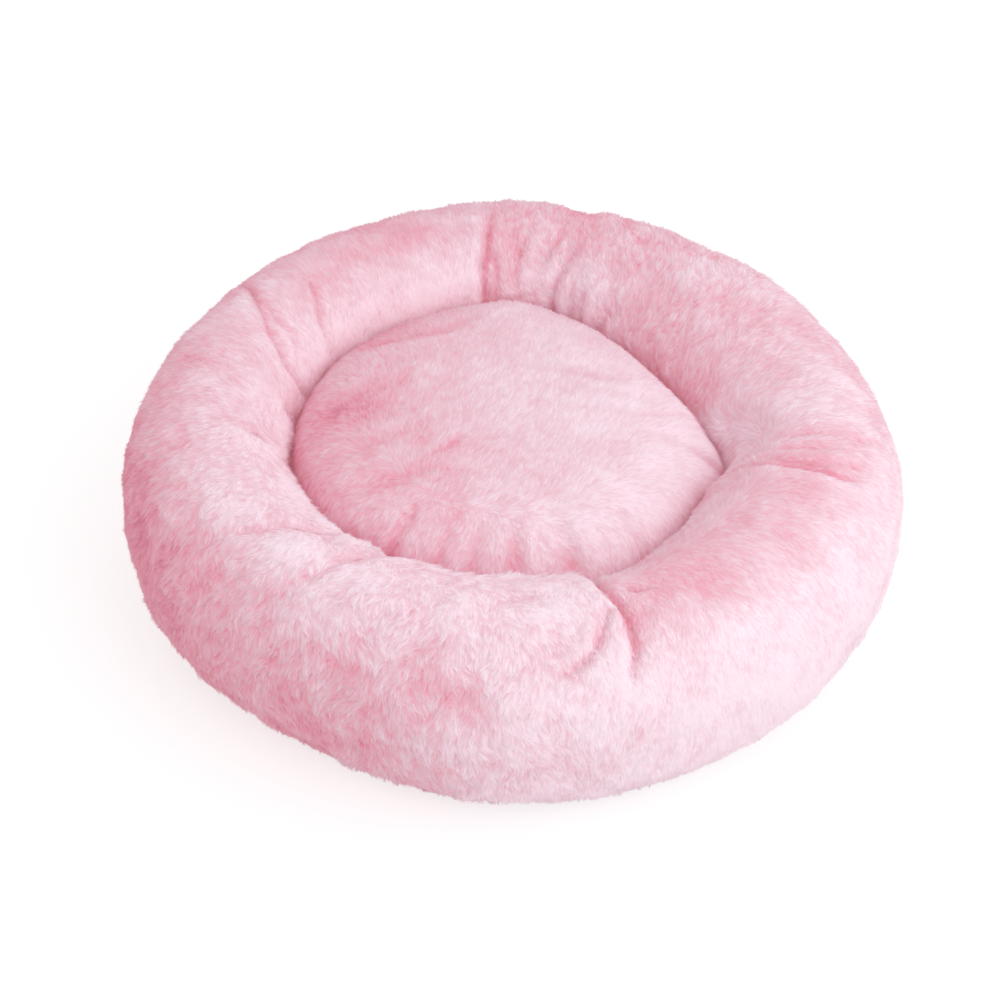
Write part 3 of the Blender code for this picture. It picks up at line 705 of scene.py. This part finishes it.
def base_cloth_points():
    """The base cloth as a grid: out along its top from the middle to the edge, and back below.

    The top sags a little between the ring's hole and the floor, in soft waves.
    """
    turn = np.arange(CUSHION_TURN_STEPS)[:, None] / CUSHION_TURN_STEPS
    share = np.linspace(0, 1, BASE_PROFILE_STEPS)[None, :]
    turn, share = np.broadcast_arrays(turn, share)
    radius = (outer_radius(turn) - BASE_INSET) * share
    low, high = (corner.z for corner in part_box("base_cloth"))
    flat = place_round(radius, np.full(radius.shape, high), turn)
    waves = 0.5 + 0.5 * smooth_noise(flat, BASE_WAVE_SIZE, 51)
    top, bottom = flat.copy(), flat.copy()
    top[..., 2] = high - BASE_WAVE_DEPTH * waves
    bottom[..., 2] = low
    return np.concatenate([top, bottom[:, ::-1]], axis=1)


def mesh_piece(name, vertices, faces, material):
    """An object at the origin with a smooth mesh of the given faces, all with as many corners."""
    mesh = bpy.data.meshes.new(name)
    mesh.vertices.add(len(vertices))
    mesh.vertices.foreach_set("co", np.ascontiguousarray(vertices, np.float32).ravel())
    mesh.loops.add(faces.size)
    mesh.loops.foreach_set("vertex_index", np.ascontiguousarray(faces, np.int32).ravel())
    mesh.polygons.add(len(faces))
    starts = np.arange(len(faces), dtype=np.int32) * faces.shape[1]
    mesh.polygons.foreach_set("loop_start", starts)
    mesh.update(calc_edges=True)
    mesh.shade_smooth()
    mesh.materials.append(material)
    piece = bpy.data.objects.new(name, mesh)
    bpy.context.scene.collection.objects.link(piece)
    return piece


def grid_faces(rows, columns, closed_columns):
    """Quads of a grid whose rows close round the bed, and whose columns may close too."""
    index = np.arange(rows * columns).reshape(rows, columns)
    ahead = np.roll(index, -1, axis=0)
    right, right_ahead = np.roll(index, -1, axis=1), np.roll(ahead, -1, axis=1)
    faces = np.stack([index, right, right_ahead, ahead], axis=-1)
    if not closed_columns:
        faces = faces[:, :-1]
    return faces.reshape(-1, 4)


def pole_grid(points):
    """Vertices and triangles of a grid from pole to pole, with each pole as one vertex."""
    rows, columns = points.shape[:2]
    middle = points[:, 1:-1]
    vertices = np.concatenate([middle.reshape(-1, 3), points[:1, 0], points[:1, -1]])
    quads = grid_faces(rows, columns - 2, False)
    index = np.arange(rows * (columns - 2)).reshape(rows, columns - 2)
    ahead = np.roll(index, -1, axis=0)
    top, bottom = len(vertices) - 2, len(vertices) - 1
    top_faces = np.stack([np.full(rows, top), index[:, 0], ahead[:, 0]], axis=-1)
    bottom_faces = np.stack([np.full(rows, bottom), ahead[:, -1], index[:, -1]], axis=-1)
    faces = np.concatenate([quads[:, [0, 1, 2]], quads[:, [0, 2, 3]], top_faces, bottom_faces])
    return vertices, faces


def pole_values(grid):
    """A grid's values in the order of pole_grid's vertices."""
    return np.concatenate([grid[:, 1:-1].ravel(), grid[:1, 0], grid[:1, -1]])


Roots = namedtuple("Roots", "place normal along_rows along_columns row column")
# A skin's grids: its points, the steps along its rows, how far down its grooves go, and its
# paleness with its painted light and shade; and whether its columns close
Skin = namedtuple("Skin", "points steps groove paleness closed_columns")


def read_between(grid, row, column):
    """A grid's values at whole and broken row and column numbers, blended along both."""
    rows, columns = grid.shape[:2]
    first_row, first_column = np.floor(row).astype(int), np.floor(column).astype(int)
    shape = (-1,) + (1,) * (grid.ndim - 2)
    down, right = (row - first_row).reshape(shape), (column - first_column).reshape(shape)
    first_row, first_column = first_row % rows, first_column % columns
    next_row, next_column = (first_row + 1) % rows, (first_column + 1) % columns
    first = grid[first_row, first_column] * (1 - down) + grid[next_row, first_column] * down
    second = grid[first_row, next_column] * (1 - down) + grid[next_row, next_column] * down
    return first * (1 - right) + second * right


def scatter_roots(points, directions, closed_columns, weight, count, numbers):
    """Strand roots spread evenly over a grid's skin, more thickly where the weight is higher.

    Each quad gets a share of the roots by its area times its weight. A root lies at a random
    place in its quad, and reads place, normal and directions between the quad's corners.
    """
    rows, columns = points.shape[:2]
    last = columns if closed_columns else columns - 1
    ahead = np.roll(points, -1, axis=0)
    first_cross = np.roll(ahead, -1, axis=1) - points
    second_cross = np.roll(points, -1, axis=1) - ahead
    area = np.linalg.norm(np.cross(first_cross, second_cross), axis=-1) * weight
    total = np.cumsum(area[:, :last].ravel())
    picks = (np.arange(count) + numbers.random(count)) / count * total[-1]
    quad = np.minimum(np.searchsorted(total, picks), total.size - 1)
    row = quad // last + numbers.random(count)
    column = quad % last + numbers.random(count)
    directions = [unit(read_between(grid, row, column)) for grid in directions]
    return Roots(read_between(points, row, column), *directions, row, column)


def curl_height(places):
    """How high the pile's curls stand: 1 on a curl, and 0 in the middle of a parting.

    Partings run where smooth noise passes through zero, on places that other noise has moved.
    """
    bend = [smooth_noise(places, CURL_BEND_SIZE, 41 + axis) for axis in range(3)]
    places = places + CURL_BEND * np.stack(bend, axis=-1)
    return sum(
        share * (1 - np.exp(-((smooth_noise(places, size, 45 + number) / CURL_PARTING_SHARE) ** 2)))
        for number, (size, share) in enumerate(CURLS)
    )


def column_steps(points):
    """How far each place of a grid is from the next along its row."""
    return np.linalg.norm(np.roll(points, -1, axis=1) - points, axis=-1)


def grid_place(skin, roots, places):
    """Row and column numbers, on the skin's grid, of places close to their roots."""
    rows, columns = skin.points.shape[:2]
    turn = np.mod(np.arctan2(places[:, 1], places[:, 0]) / (2 * math.pi), 1)
    along = dot(places - roots.place, roots.along_columns)[:, 0]
    column = roots.column + along / read_between(skin.steps, roots.row, roots.column)
    if not skin.closed_columns:
        column = np.clip(column, 0, columns - 1.001)
    return turn * rows, column


def pile_vertices(skin, roots, nap, ruffle, length_share, numbers):
    """The four vertices of each strand, its nine corner normals and its three pattern numbers.

    A strand is a three-sided spike on a small triangle at its root. It leans from the normal
    towards the nap, which is turned by noise, and its tip is drawn to the centre of its tuft
    and sinks in the partings between curls. It follows the skin into folds, and one that would
    cross a fold ends in it. The upper sides' normals are mostly those of the roots, tilted
    outwards from the middle of the tuft and of the curl, so that light falls softly over the
    pile. The numbers are the height share, the strand's difference from its neighbours, with
    painted shade towards the edges of tufts and clumps, and the paleness of the skin at its root
    and under its tip, with painted shade in the partings between curls.
    """
    count = len(roots.place)
    own = numbers.random((count, 4))
    centre, tuft = nearest_tuft(roots.place, TUFT_SIZE, 5)
    clump_centre, clump = nearest_tuft(roots.place, CLUMP_SIZE, 61)
    lying = np.clip(np.linalg.norm(nap, axis=-1), 0, 1)
    nap = unit(nap)
    side_way = unit(np.cross(roots.normal, nap))
    swirl = 0.8 * smooth_noise(roots.place, 0.035, 31) + 0.5 * smooth_noise(roots.place, 0.013, 32)
    swirl = swirl * ruffle + 0.8 * (tuft - 0.5) * ruffle
    swirl = swirl + 0.5 * (clump - 0.5) + 0.25 * (own[:, 0] - 0.5)
    way = nap * np.cos(swirl)[:, None] + side_way * np.sin(swirl)[:, None]
    lean = STRAND_LEAN * (0.5 + 0.5 * lying)
    lean = lean + 0.2 * (own[:, 1] - 0.5) + 0.4 * ruffle * (cell_mix(tuft) - 0.5)
    lean = lean + 0.25 * (cell_mix(clump) - 0.5)
    direction = roots.normal * np.cos(lean)[:, None] + way * np.sin(lean)[:, None]
    root_groove = read_between(skin.groove, roots.row, roots.column)
    length = STRAND_LENGTH * length_share * (0.8 + 0.4 * own[:, 2])
    length = length * (1 - SHORTER_IN_GROOVES * root_groove)
    length = length * (1 + 0.3 * ruffle * (cell_mix(tuft + 0.5) - 0.5))
    draw, clump_draw = (
        middle - roots.place - roots.normal * dot(middle - roots.place, roots.normal)
        for middle in (centre, clump_centre)
    )
    dome = roots.normal - draw * (TUFT_DOME / TUFT_SIZE * (0.25 + 0.75 * ruffle))[:, None]
    dome = dome - clump_draw * (CLUMP_DOME / CLUMP_SIZE)
    reach = direction * length[:, None] + draw * (0.10 + 0.22 * ruffle)[:, None]
    reach = reach + clump_draw * CLUMP_DRAW
    middle_groove, tip_groove = (
        read_between(skin.groove, *grid_place(skin, roots, roots.place + reach * share))
        for share in (0.5, 1.0)
    )
    crossing = (middle_groove - np.maximum(root_groove, tip_groove)) * CROSSING_SHARPNESS
    tip = roots.place + reach * (1 - 0.5 * np.clip(crossing, 0, 1))[:, None]
    root_curl, tip_curl = (
        1 - ruffle * (1 - curl_height(places)) for places in (roots.place, tip)
    )
    tip_place = grid_place(skin, roots, tip)
    stand = dot(tip - roots.place, roots.normal) * (1 - CURL_SINK_SHARE * (1 - tip_curl))[:, None]
    rise = dot(read_between(skin.points, *tip_place) - tip, roots.normal) + stand
    tip = tip + roots.normal * np.clip(rise, -MOST_FOLLOWED, MOST_FOLLOWED)
    dome = unit(dome - way * (CURL_TILT * (tip_curl - root_curl))[:, None])
    direction = unit(tip - roots.place)
    side = unit(np.cross(direction, roots.normal))
    rise = np.cross(side, direction)
    width = (STRAND_WIDTH * (0.7 + 0.6 * own[:, 3]))[:, None]
    left = roots.place - side * width / 2 - rise * width * 0.06
    right = roots.place + side * width / 2 - rise * width * 0.06
    ridge = roots.place + rise * width * 0.12
    vertices = np.stack([left, right, ridge, tip], axis=1)
    left_normal, right_normal = unit(dome - side * 0.3), unit(dome + side * 0.3)
    ridge_normal, tip_normal = unit(dome + rise * 0.1), unit(dome + direction * 0.2)
    under_normal = unit(direction * 0.5 - rise)
    normals = np.stack(
        [left_normal, ridge_normal, tip_normal, ridge_normal, right_normal, tip_normal,
         under_normal, under_normal, under_normal],
        axis=1,
    )
    contrast = SMOOTH_CONTRAST_SHARE + (1 - SMOOTH_CONTRAST_SHARE) * ruffle
    is_tip = np.array([0.0, 0.0, 0.0, 1.0])
    heights = MIDDLE_HEIGHT_SHARE + contrast[:, None] * (is_tip - MIDDLE_HEIGHT_SHARE)
    from_middle, from_clump = (
        np.linalg.norm(gap, axis=-1) / size - TUFT_MIDDLE_SHARE
        for gap, size in ((draw, TUFT_SIZE), (clump_draw, CLUMP_SIZE))
    )
    difference = 0.15 * (tuft - 0.5) + 0.35 * (clump - 0.5) + 0.25 * (own[:, 0] - 0.5)
    # Painted shade: deeper pink towards the edges of tufts and clumps, paler in their middles
    difference = difference - 0.15 * from_middle - 0.35 * from_clump
    difference = np.repeat((contrast * difference)[:, None], 4, axis=1)
    curl = root_curl[:, None] * (1 - is_tip) + tip_curl[:, None] * is_tip
    root_paleness = read_between(skin.paleness, roots.row, roots.column)[:, None]
    tip_paleness = read_between(skin.paleness, *tip_place)[:, None]
    shades = root_paleness * (1 - is_tip) + tip_paleness * is_tip
    # Painted shade: deeper pink in the partings between curls
    shades = shades + CURL_PAINTED_SHADE * (curl - 1 + 0.2 * ruffle[:, None])
    pattern = np.stack([heights, difference, shades], axis=-1)
    return vertices, normals, pattern


def cell_mix(number):
    """Another number from 0 to 1 out of one, as unlike it as can be."""
    return np.mod(number * 57.31 + 0.37, 1.0)


def strand_faces(count):
    """The three sides of each strand, wound to face outwards."""
    first = np.arange(count)[:, None, None] * 4
    sides = np.array([[0, 2, 3], [2, 1, 3], [1, 0, 3]])[None]
    return (first + sides).reshape(-1, 3)


def strand_map(count):
    """Each strand's own cell of a square map, opened like a fan with the tip at its top."""
    across = math.ceil(math.sqrt(count))
    number = np.arange(count)
    corner = np.stack([number % across, number // across], axis=-1)[:, None]
    margin = 0.08
    foot = np.linspace(margin, 1 - margin, STRAND_SIDES + 1)
    tip = (0.5, 1 - margin)
    fan = np.array([
        point
        for start, end in zip(foot, foot[1:])
        for point in ((start, margin), (end, margin), tip)
    ])[None]
    return ((corner + fan) / across).reshape(-1, 2)


def pile_piece(name, vertices, normals, pattern, material):
    """One piece of pile as a mesh, with its normals, its pattern numbers and its map.

    Real fibres pass light on to each other, so the strands don't darken each other here: the
    skins under them cast the shadows.
    """
    count = len(vertices)
    piece = mesh_piece(name, vertices.reshape(-1, 3), strand_faces(count), material)
    mesh = piece.data
    for label, domain, values in (("custom_normal", "CORNER", normals), ("pile", "POINT", pattern)):
        attribute = mesh.attributes.new(label, "FLOAT_VECTOR", domain)
        attribute.data.foreach_set("vector", np.ascontiguousarray(values, np.float32).ravel())
    ends = np.empty(len(mesh.edges) * 2, np.int32)
    mesh.edges.foreach_get("vertices", ends)
    touches_ridge = (ends.reshape(-1, 2) % STRAND_VERTICES == RIDGE_VERTEX).any(axis=1)
    sharp = mesh.attributes.new("sharp_edge", "BOOLEAN", "EDGE")
    sharp.data.foreach_set("value", ~touches_ridge)
    layer = mesh.uv_layers.new(name="OFBake")
    layer.uv.foreach_set("vector", strand_map(count).astype(np.float32).ravel())
    mesh.update()
    piece.visible_shadow = False
    piece.visible_diffuse = False
    return piece


def stay_above(vertices, floor):
    """Strands whose tips would reach below a height end at it instead."""
    vertices[..., 2] = np.maximum(vertices[..., 2], floor)
    return vertices


def ring_paleness(move):
    """How pale the ring's plush is over its grid, with painted light and shade: painted shade down
    the inner wall, along the cushion's rim, low on the outside away from the light and in grooves.
    """
    turn = np.arange(RING_TURN_STEPS)[:, None] / RING_TURN_STEPS
    section = np.arange(RING_SECTION_STEPS)[None, :] / RING_SECTION_STEPS
    outside = (section - CREST_LAST_SHARE) / (OUTSIDE_SHARE - CREST_LAST_SHARE)
    outside = np.clip(outside, 0, 1)
    wall = (CREST_FIRST_SHARE - section) / (CREST_FIRST_SHARE - WALL_SHARE)
    wall = np.clip(wall, 0, 1)
    paleness = round_curve(CREST_PALENESS_SHARES, turn) * (1 - outside - wall)
    paleness = paleness + round_curve(OUTSIDE_PALENESS_SHARES, turn) * outside
    paleness = paleness + round_curve(WALL_PALENESS_SHARES, turn) * wall
    # Painted shade: deeper pink low on the inner wall, along the cushion's rim, low on the outside
    # away from the light and in grooves; raised lumps are painted paler
    under_wall_shade = UNDER_WALL_PAINTED_SHADE * np.clip((UNDER_WALL_SHARE - section) * 12, 0, 1)
    contact_shade = np.exp(-(((section - CONTACT_SECTION_SHARE) / CONTACT_REACH) ** 2))
    contact_shade = CONTACT_PAINTED_SHADE * contact_shade
    low = np.clip((section - LOW_OUTSIDE_SHARE) / LOW_OUTSIDE_REACH, 0, 1)
    low = LOW_OUTSIDE_PAINTED_SHADE * low * np.clip(0.1 - np.cos(2 * math.pi * turn), 0, 1)
    groove = np.clip(-move / GROOVE_DEPTH, -0.3, 1)
    return paleness - under_wall_shade - contact_shade - low - GROOVE_PAINTED_SHADE * groove


def paint_skin(skin, paleness):
    """Gives a skin the same pattern numbers as the pile's roots: height 0, no difference."""
    pattern = np.zeros((paleness.size, 3), np.float32)
    pattern[:, 2] = paleness.ravel()
    attribute = skin.data.attributes.new("pile", "FLOAT_VECTOR", "POINT")
    attribute.data.foreach_set("vector", pattern.ravel())


def make_ring(materials):
    """The ring's skin, and its pile in sectors."""
    points, move, directions = ring_skin_points()
    paleness = ring_paleness(move)
    faces = grid_faces(RING_TURN_STEPS, RING_SECTION_STEPS, True)
    skin = mesh_piece("ring_skin", points.reshape(-1, 3), faces, materials["pile"])
    paint_skin(skin, paleness)
    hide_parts("bolster_cover", "bolster_filling")
    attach(skin, "ring_and_base")
    section = np.arange(RING_SECTION_STEPS) / RING_SECTION_STEPS
    covered = np.where((section > 0.07) & (section < 0.945), 1.0, 0.0)
    hidden = section < 0.26
    weight = np.where(hidden, HIDDEN_PILE_SHARE, 1.0) * covered
    groove = np.clip(-move / GROOVE_DEPTH, 0, 1)
    grids = Skin(points, column_steps(points), groove, paleness, True)
    numbers = np.random.default_rng(RANDOM_SEED)
    roots = scatter_roots(points, directions, True, weight[None, :], RING_STRANDS, numbers)
    turn = roots.row / RING_TURN_STEPS
    ruffle = round_curve(RING_RUFFLE_SHARES, turn)
    parting = round_curve(RING_PARTING_SHARES, turn)
    section = roots.column / RING_SECTION_STEPS
    side = np.clip((section - parting) / PARTING_WIDTH, -1, 1)
    side = (side * math.pi / 2)[:, None]
    nap = roots.along_columns * np.sin(side) + roots.along_rows * np.cos(side)
    nap = nap * np.clip((section - 0.24) / 0.08, UPRIGHT_SHARE, 1)[:, None]
    vertices, normals, pattern = pile_vertices(grids, roots, nap, ruffle, 1.0, numbers)
    vertices = stay_above(vertices, UPHOLSTERY_BOTTOM / 4)
    sector = np.floor(turn * RING_PILE_PIECES).astype(int) % RING_PILE_PIECES
    for number in range(RING_PILE_PIECES):
        part = sector == number
        piece = pile_piece(
            f"ring_pile_{number + 1}", vertices[part], normals[part], pattern[part],
            materials["pile"],
        )
        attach(piece, "ring_and_base")


def cushion_paleness(points, move):
    """How pale the cushion's plush is over its grid.

    It is painted paler towards the front right, where the light falls, and painted shade makes it
    deeper at the rim, in folds, in the rim's gathers and where the rim meets the ring.
    """
    turn = np.arange(CUSHION_TURN_STEPS)[:, None] / CUSHION_TURN_STEPS
    share = np.hypot(points[..., 0], points[..., 1]) / throat_radius(turn)
    # Painted light: paler towards the front right, where the key light stands
    paleness = np.clip(0.67 + points[..., 0] * 2.5 - points[..., 1] * 0.6, 0.32, 1.05)
    # Painted shade at the rim, where it meets the ring, in the rim's gathers and in grooves
    rim = 0.10 * np.clip((share - 0.93) / 0.05, 0, 1)
    contact_shade = CUSHION_CONTACT_PAINTED_SHADE * np.clip((share - CONTACT_RIM_SHARE) * 50, 0, 1)
    gathers = dips(turn, CUSHION_EDGE_GATHER_SHARES) * share**EDGE_GATHER_POWER
    groove = np.clip(-move / GROOVE_DEPTH, -0.3, 1)
    return paleness - rim - contact_shade - EDGE_GATHER_PAINTED_SHADE * gathers - GROOVE_PAINTED_SHADE * groove


def make_cushion(materials):
    """The cushion's skin, its pile in parts, and the lining of its underside."""
    points, move, directions = cushion_skin_points()
    paleness = cushion_paleness(points, move)
    vertices, faces = pole_grid(points)
    skin = mesh_piece("cushion_skin", vertices, faces, materials["pile"])
    paint_skin(skin, pole_values(paleness))
    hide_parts("cushion_top_panel", "cushion_filling")
    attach(skin, "loose_cushion")
    groove = np.clip(-move / GROOVE_DEPTH, 0, 1)
    grids = Skin(points, column_steps(points), groove, paleness, False)
    weight = np.where(cushion_profile_angles() < math.pi / 2, 1.0, 0.0)
    numbers = np.random.default_rng(RANDOM_SEED + 1)
    roots = scatter_roots(points, directions, False, weight[None, :], CUSHION_STRANDS, numbers)
    turn = roots.row / CUSHION_TURN_STEPS
    share = np.hypot(roots.place[:, 0], roots.place[:, 1]) / throat_radius(turn)
    outward = place_round(np.ones(len(turn)), np.zeros(len(turn)), turn)
    near_rim = np.clip((share - 0.45) / 0.45, 0, 1)[:, None]
    nap = outward * near_rim + np.array(CUSHION_NAP) * (1 - near_rim)
    nap = unit(nap - roots.normal * dot(nap, roots.normal))
    at_rim = np.clip((share - 0.94) / 0.05, 0, 1)
    nap = nap * (1 - (1 - UPRIGHT_SHARE) * at_rim)[:, None]
    ruffle = np.clip(0.3 - roots.place[:, 0] * 2.2 - roots.place[:, 1] * 1.2, 0.08, 0.6)
    lengths = 0.85 + LONGER_AT_RIM * at_rim
    vertices, normals, pattern = pile_vertices(grids, roots, nap, ruffle, lengths, numbers)
    part_of = np.floor(turn * CUSHION_PILE_PIECES).astype(int) % CUSHION_PILE_PIECES
    for number in range(CUSHION_PILE_PIECES):
        part = part_of == number
        piece = pile_piece(
            f"cushion_pile_{number + 1}", vertices[part], normals[part], pattern[part],
            materials["pile"],
        )
        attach(piece, "loose_cushion")


def make_cloths(materials):
    """The lining under the cushion and the cloth under the whole bed, both thin closed sheets."""
    vertices, faces = pole_grid(lining_points())
    lining = mesh_piece("cushion_lining", vertices, faces, materials["lining"])
    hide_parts("cushion_bottom_panel")
    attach(lining, "loose_cushion")
    vertices, faces = pole_grid(base_cloth_points())
    base = mesh_piece("base_under_cloth", vertices, faces, materials["base"])
    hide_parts("base_cloth")
    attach(base, "ring_and_base")


class Number:
    """A node socket that carries numbers, so that sums and products read as plain maths."""

    def __init__(self, graph, socket):
        self.graph = graph
        self.socket = socket

    def joined(self, operation, first, second):
        return self.graph.node(
            "ShaderNodeMath", {"operation": operation}, {0: first, 1: second}, "Value"
        )

    def __add__(self, other):
        return self.joined("ADD", self, other)

    def __sub__(self, other):
        return self.joined("SUBTRACT", self, other)

    def __rsub__(self, other):
        return self.joined("SUBTRACT", other, self)

    def __mul__(self, other):
        return self.joined("MULTIPLY", self, other)

    def __pow__(self, other):
        return self.joined("POWER", self, other)

    __radd__ = __add__
    __rmul__ = __mul__


class Graph:
    """A material and its nodes."""

    def __init__(self, name):
        self.material = bpy.data.materials.new(name)
        self.material.use_nodes = True
        self.tree = self.material.node_tree
        self.shader = self.tree.nodes["Principled BSDF"]

    def node(self, kind, settings, inputs, output):
        """Adds a node, with its settings first and then its sockets' values or links."""
        made = self.tree.nodes.new(kind)
        for name, value in settings.items():
            setattr(made, name, value)
        for name, value in inputs.items():
            self.put(made.inputs[name], value)
        return Number(self, made.outputs[output])

    def put(self, socket, value):
        """Links a socket to a Number, or gives it a constant."""
        if isinstance(value, Number):
            self.tree.links.new(value.socket, socket)
        elif isinstance(value, tuple) and len(value) == 3 and socket.type == "RGBA":
            socket.default_value = (*value, 1.0)
        else:
            socket.default_value = value

    def finish(self, values):
        """Sets the main shader's sockets and gives the material."""
        for name, value in values.items():
            self.put(self.shader.inputs[name], value)
        return self.material

    def place(self):
        return self.node("ShaderNodeTexCoord", {}, {}, "Object")

    def noise(self, size, detail=2.0):
        """Soft noise from 0 to 1 with lumps of a size in metres."""
        return self.node(
            "ShaderNodeTexNoise", {}, {"Vector": self.place(), "Scale": 1 / size, "Detail": detail},
            "Fac",
        )

    def mix(self, share, first, second):
        """A blend of two colours."""
        made = self.tree.nodes.new("ShaderNodeMix")
        made.data_type = "RGBA"
        made.clamp_factor = True
        self.put(made.inputs[0], share)
        self.put(made.inputs[6], first)
        self.put(made.inputs[7], second)
        return Number(self, made.outputs[2])


def pile_material():
    """Plush pile: deep pink at the root, pale at the tip, and a little different in each tuft.

    The deep pink at the root is partly the fibres' own colour and partly painted shade, and painted
    shade reaches a deeper pink still. Where the pile is deepest a painted glow, a little deep pink
    emission, stands in for light that has passed on between the fibres.
    """
    graph = Graph("plush_pile")
    pattern = graph.node("ShaderNodeAttribute", {"attribute_name": "pile"}, {}, "Vector")
    split = graph.tree.nodes.new("ShaderNodeSeparateXYZ")
    graph.put(split.inputs[0], pattern)
    height, difference, paleness = (Number(graph, socket) for socket in split.outputs)
    share = paleness + (height - MIDDLE_HEIGHT_SHARE) * PALER_TO_THE_TIP + difference
    share = share + (graph.noise(0.03) - 0.5) * 0.35 + (graph.noise(0.011) - 0.5) * 0.25
    deep = graph.mix(share * (1 / DEEP_SHARE) + 1, PILE_PAINTED_DEEP_SHADE, PILE_ROOT)
    colour = graph.mix(share, deep, PILE_TIP)
    painted_glow = graph.mix(share * (1 / PAINTED_GLOW_SHARE), PILE_PAINTED_GLOW, (0.0, 0.0, 0.0))
    return graph.finish({
        "Base Color": colour,
        "Roughness": 1.0,
        "Specular IOR Level": 0.0,
        "Emission Color": painted_glow,
        "Emission Strength": 1.0,
    })


def cloth_material(name, colour, thread):
    """Plain woven cloth: two crossed bands of threads, with a slow change of shade."""
    graph = Graph(name)
    weave = 0.0
    for direction in ("X", "Y"):
        bands = graph.node(
            "ShaderNodeTexWave", {"bands_direction": direction, "wave_profile": "SIN"},
            {"Vector": graph.place(), "Scale": math.pi / 10 / thread, "Distortion": 0.4}, "Fac",
        )
        weave = bands * 0.5 + weave
    darker = tuple(0.72 * part for part in colour)
    shade = graph.mix(weave * 0.6 + graph.noise(0.03) * 0.5, darker, colour)
    bump = graph.node(
        "ShaderNodeBump", {}, {"Strength": 0.5, "Distance": thread / 2, "Height": weave}, "Normal"
    )
    return graph.finish({"Base Color": shade, "Roughness": 0.9, "Normal": bump})


def grip_material():
    """Matt moulded rubber with a fine grain."""
    graph = Graph("grip_rubber")
    grain = graph.noise(0.0008, 3.0)
    darker = tuple(0.8 * part for part in GRIP_GREY)
    colour = graph.mix(graph.noise(0.04) * 0.6 + grain * 0.4, darker, GRIP_GREY)
    bump = graph.node(
        "ShaderNodeBump", {}, {"Strength": 0.4, "Distance": 0.0002, "Height": grain}, "Normal"
    )
    return graph.finish({"Base Color": colour, "Roughness": 0.7, "Normal": bump})


def floor_material():
    """A white floor: seen by the camera it is lifted to white, and it keeps the bed's shadow."""
    graph = Graph("floor")
    seen = graph.node("ShaderNodeLightPath", {}, {}, "Is Camera Ray")
    lift = graph.mix(seen, (0.0, 0.0, 0.0), FLOOR_LIFT)
    return graph.finish({
        "Base Color": graph.mix(seen, FLOOR_WHITE, FLOOR_SEEN),
        "Roughness": 1.0,
        "Specular IOR Level": 0.0,
        "Emission Color": lift,
        "Emission Strength": 1.0,
    })


def make_camera():
    """The camera that the photograph was taken with, as fitted."""
    data = bpy.data.cameras.new("camera")
    data.sensor_width = SENSOR_WIDTH
    data.lens = FOCAL_PIXELS * SENSOR_WIDTH / IMAGE_SIZE
    data.shift_x = (IMAGE_SIZE / 2 - OPTICAL_AXIS_X) / IMAGE_SIZE
    data.shift_y = (OPTICAL_AXIS_Y - IMAGE_SIZE / 2) / IMAGE_SIZE
    camera = bpy.data.objects.new("camera", data)
    back = Vector((0.0, -math.cos(CAMERA_ELEVATION), math.sin(CAMERA_ELEVATION)))
    camera.location = Vector((0.0, 0.0, AIM_HEIGHT)) + back * CAMERA_DISTANCE
    camera.rotation_mode = "QUATERNION"
    camera.rotation_quaternion = (-back).to_track_quat("-Z", "Y")
    bpy.context.scene.collection.objects.link(camera)
    bpy.context.scene.camera = camera


def area_light(name, place, aim, size, power):
    """A square soft light that points at a place."""
    data = bpy.data.lights.new(name, "AREA")
    data.size = size
    data.energy = power
    light = bpy.data.objects.new(name, data)
    light.location = place
    light.rotation_mode = "QUATERNION"
    light.rotation_quaternion = (Vector(aim) - Vector(place)).to_track_quat("-Z", "Y")
    bpy.context.scene.collection.objects.link(light)


def make_lights():
    """A large soft light at the front right, a weak one behind, and an even pale room."""
    aim = (0.0, 0.0, 0.08)
    area_light("key_light", (1.3, -0.9, 1.3), aim, 1.6, 11.0)
    area_light("back_light", (-0.3, 1.5, 1.5), aim, 1.6, 0.5)
    world = bpy.data.worlds.new("room")
    world.use_nodes = True
    background = world.node_tree.nodes["Background"]
    background.inputs["Color"].default_value = (1.0, 1.0, 1.0, 1.0)
    background.inputs["Strength"].default_value = 0.89
    bpy.context.scene.world = world


def make_floor():
    size = 24.0
    corners = np.array([[-1, -1, 0], [1, -1, 0], [1, 1, 0], [-1, 1, 0]]) * size / 2
    floor = mesh_piece("floor", corners, np.array([[0, 1, 2, 3]]), floor_material())


def main():
    materials = {
        "pile": pile_material(),
        "lining": cloth_material("lining_weave", LINING_PINK, 0.0008),
        "base": cloth_material("base_weave", BASE_PINK, 0.0010),
    }
    make_ring(materials)
    make_cushion(materials)
    make_cloths(materials)
    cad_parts["grip_sheet"].data.materials.clear()
    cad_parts["grip_sheet"].data.materials.append(grip_material())
    make_floor()
    make_lights()
    make_camera()
    bpy.context.scene.view_settings.view_transform = "Standard"


main()
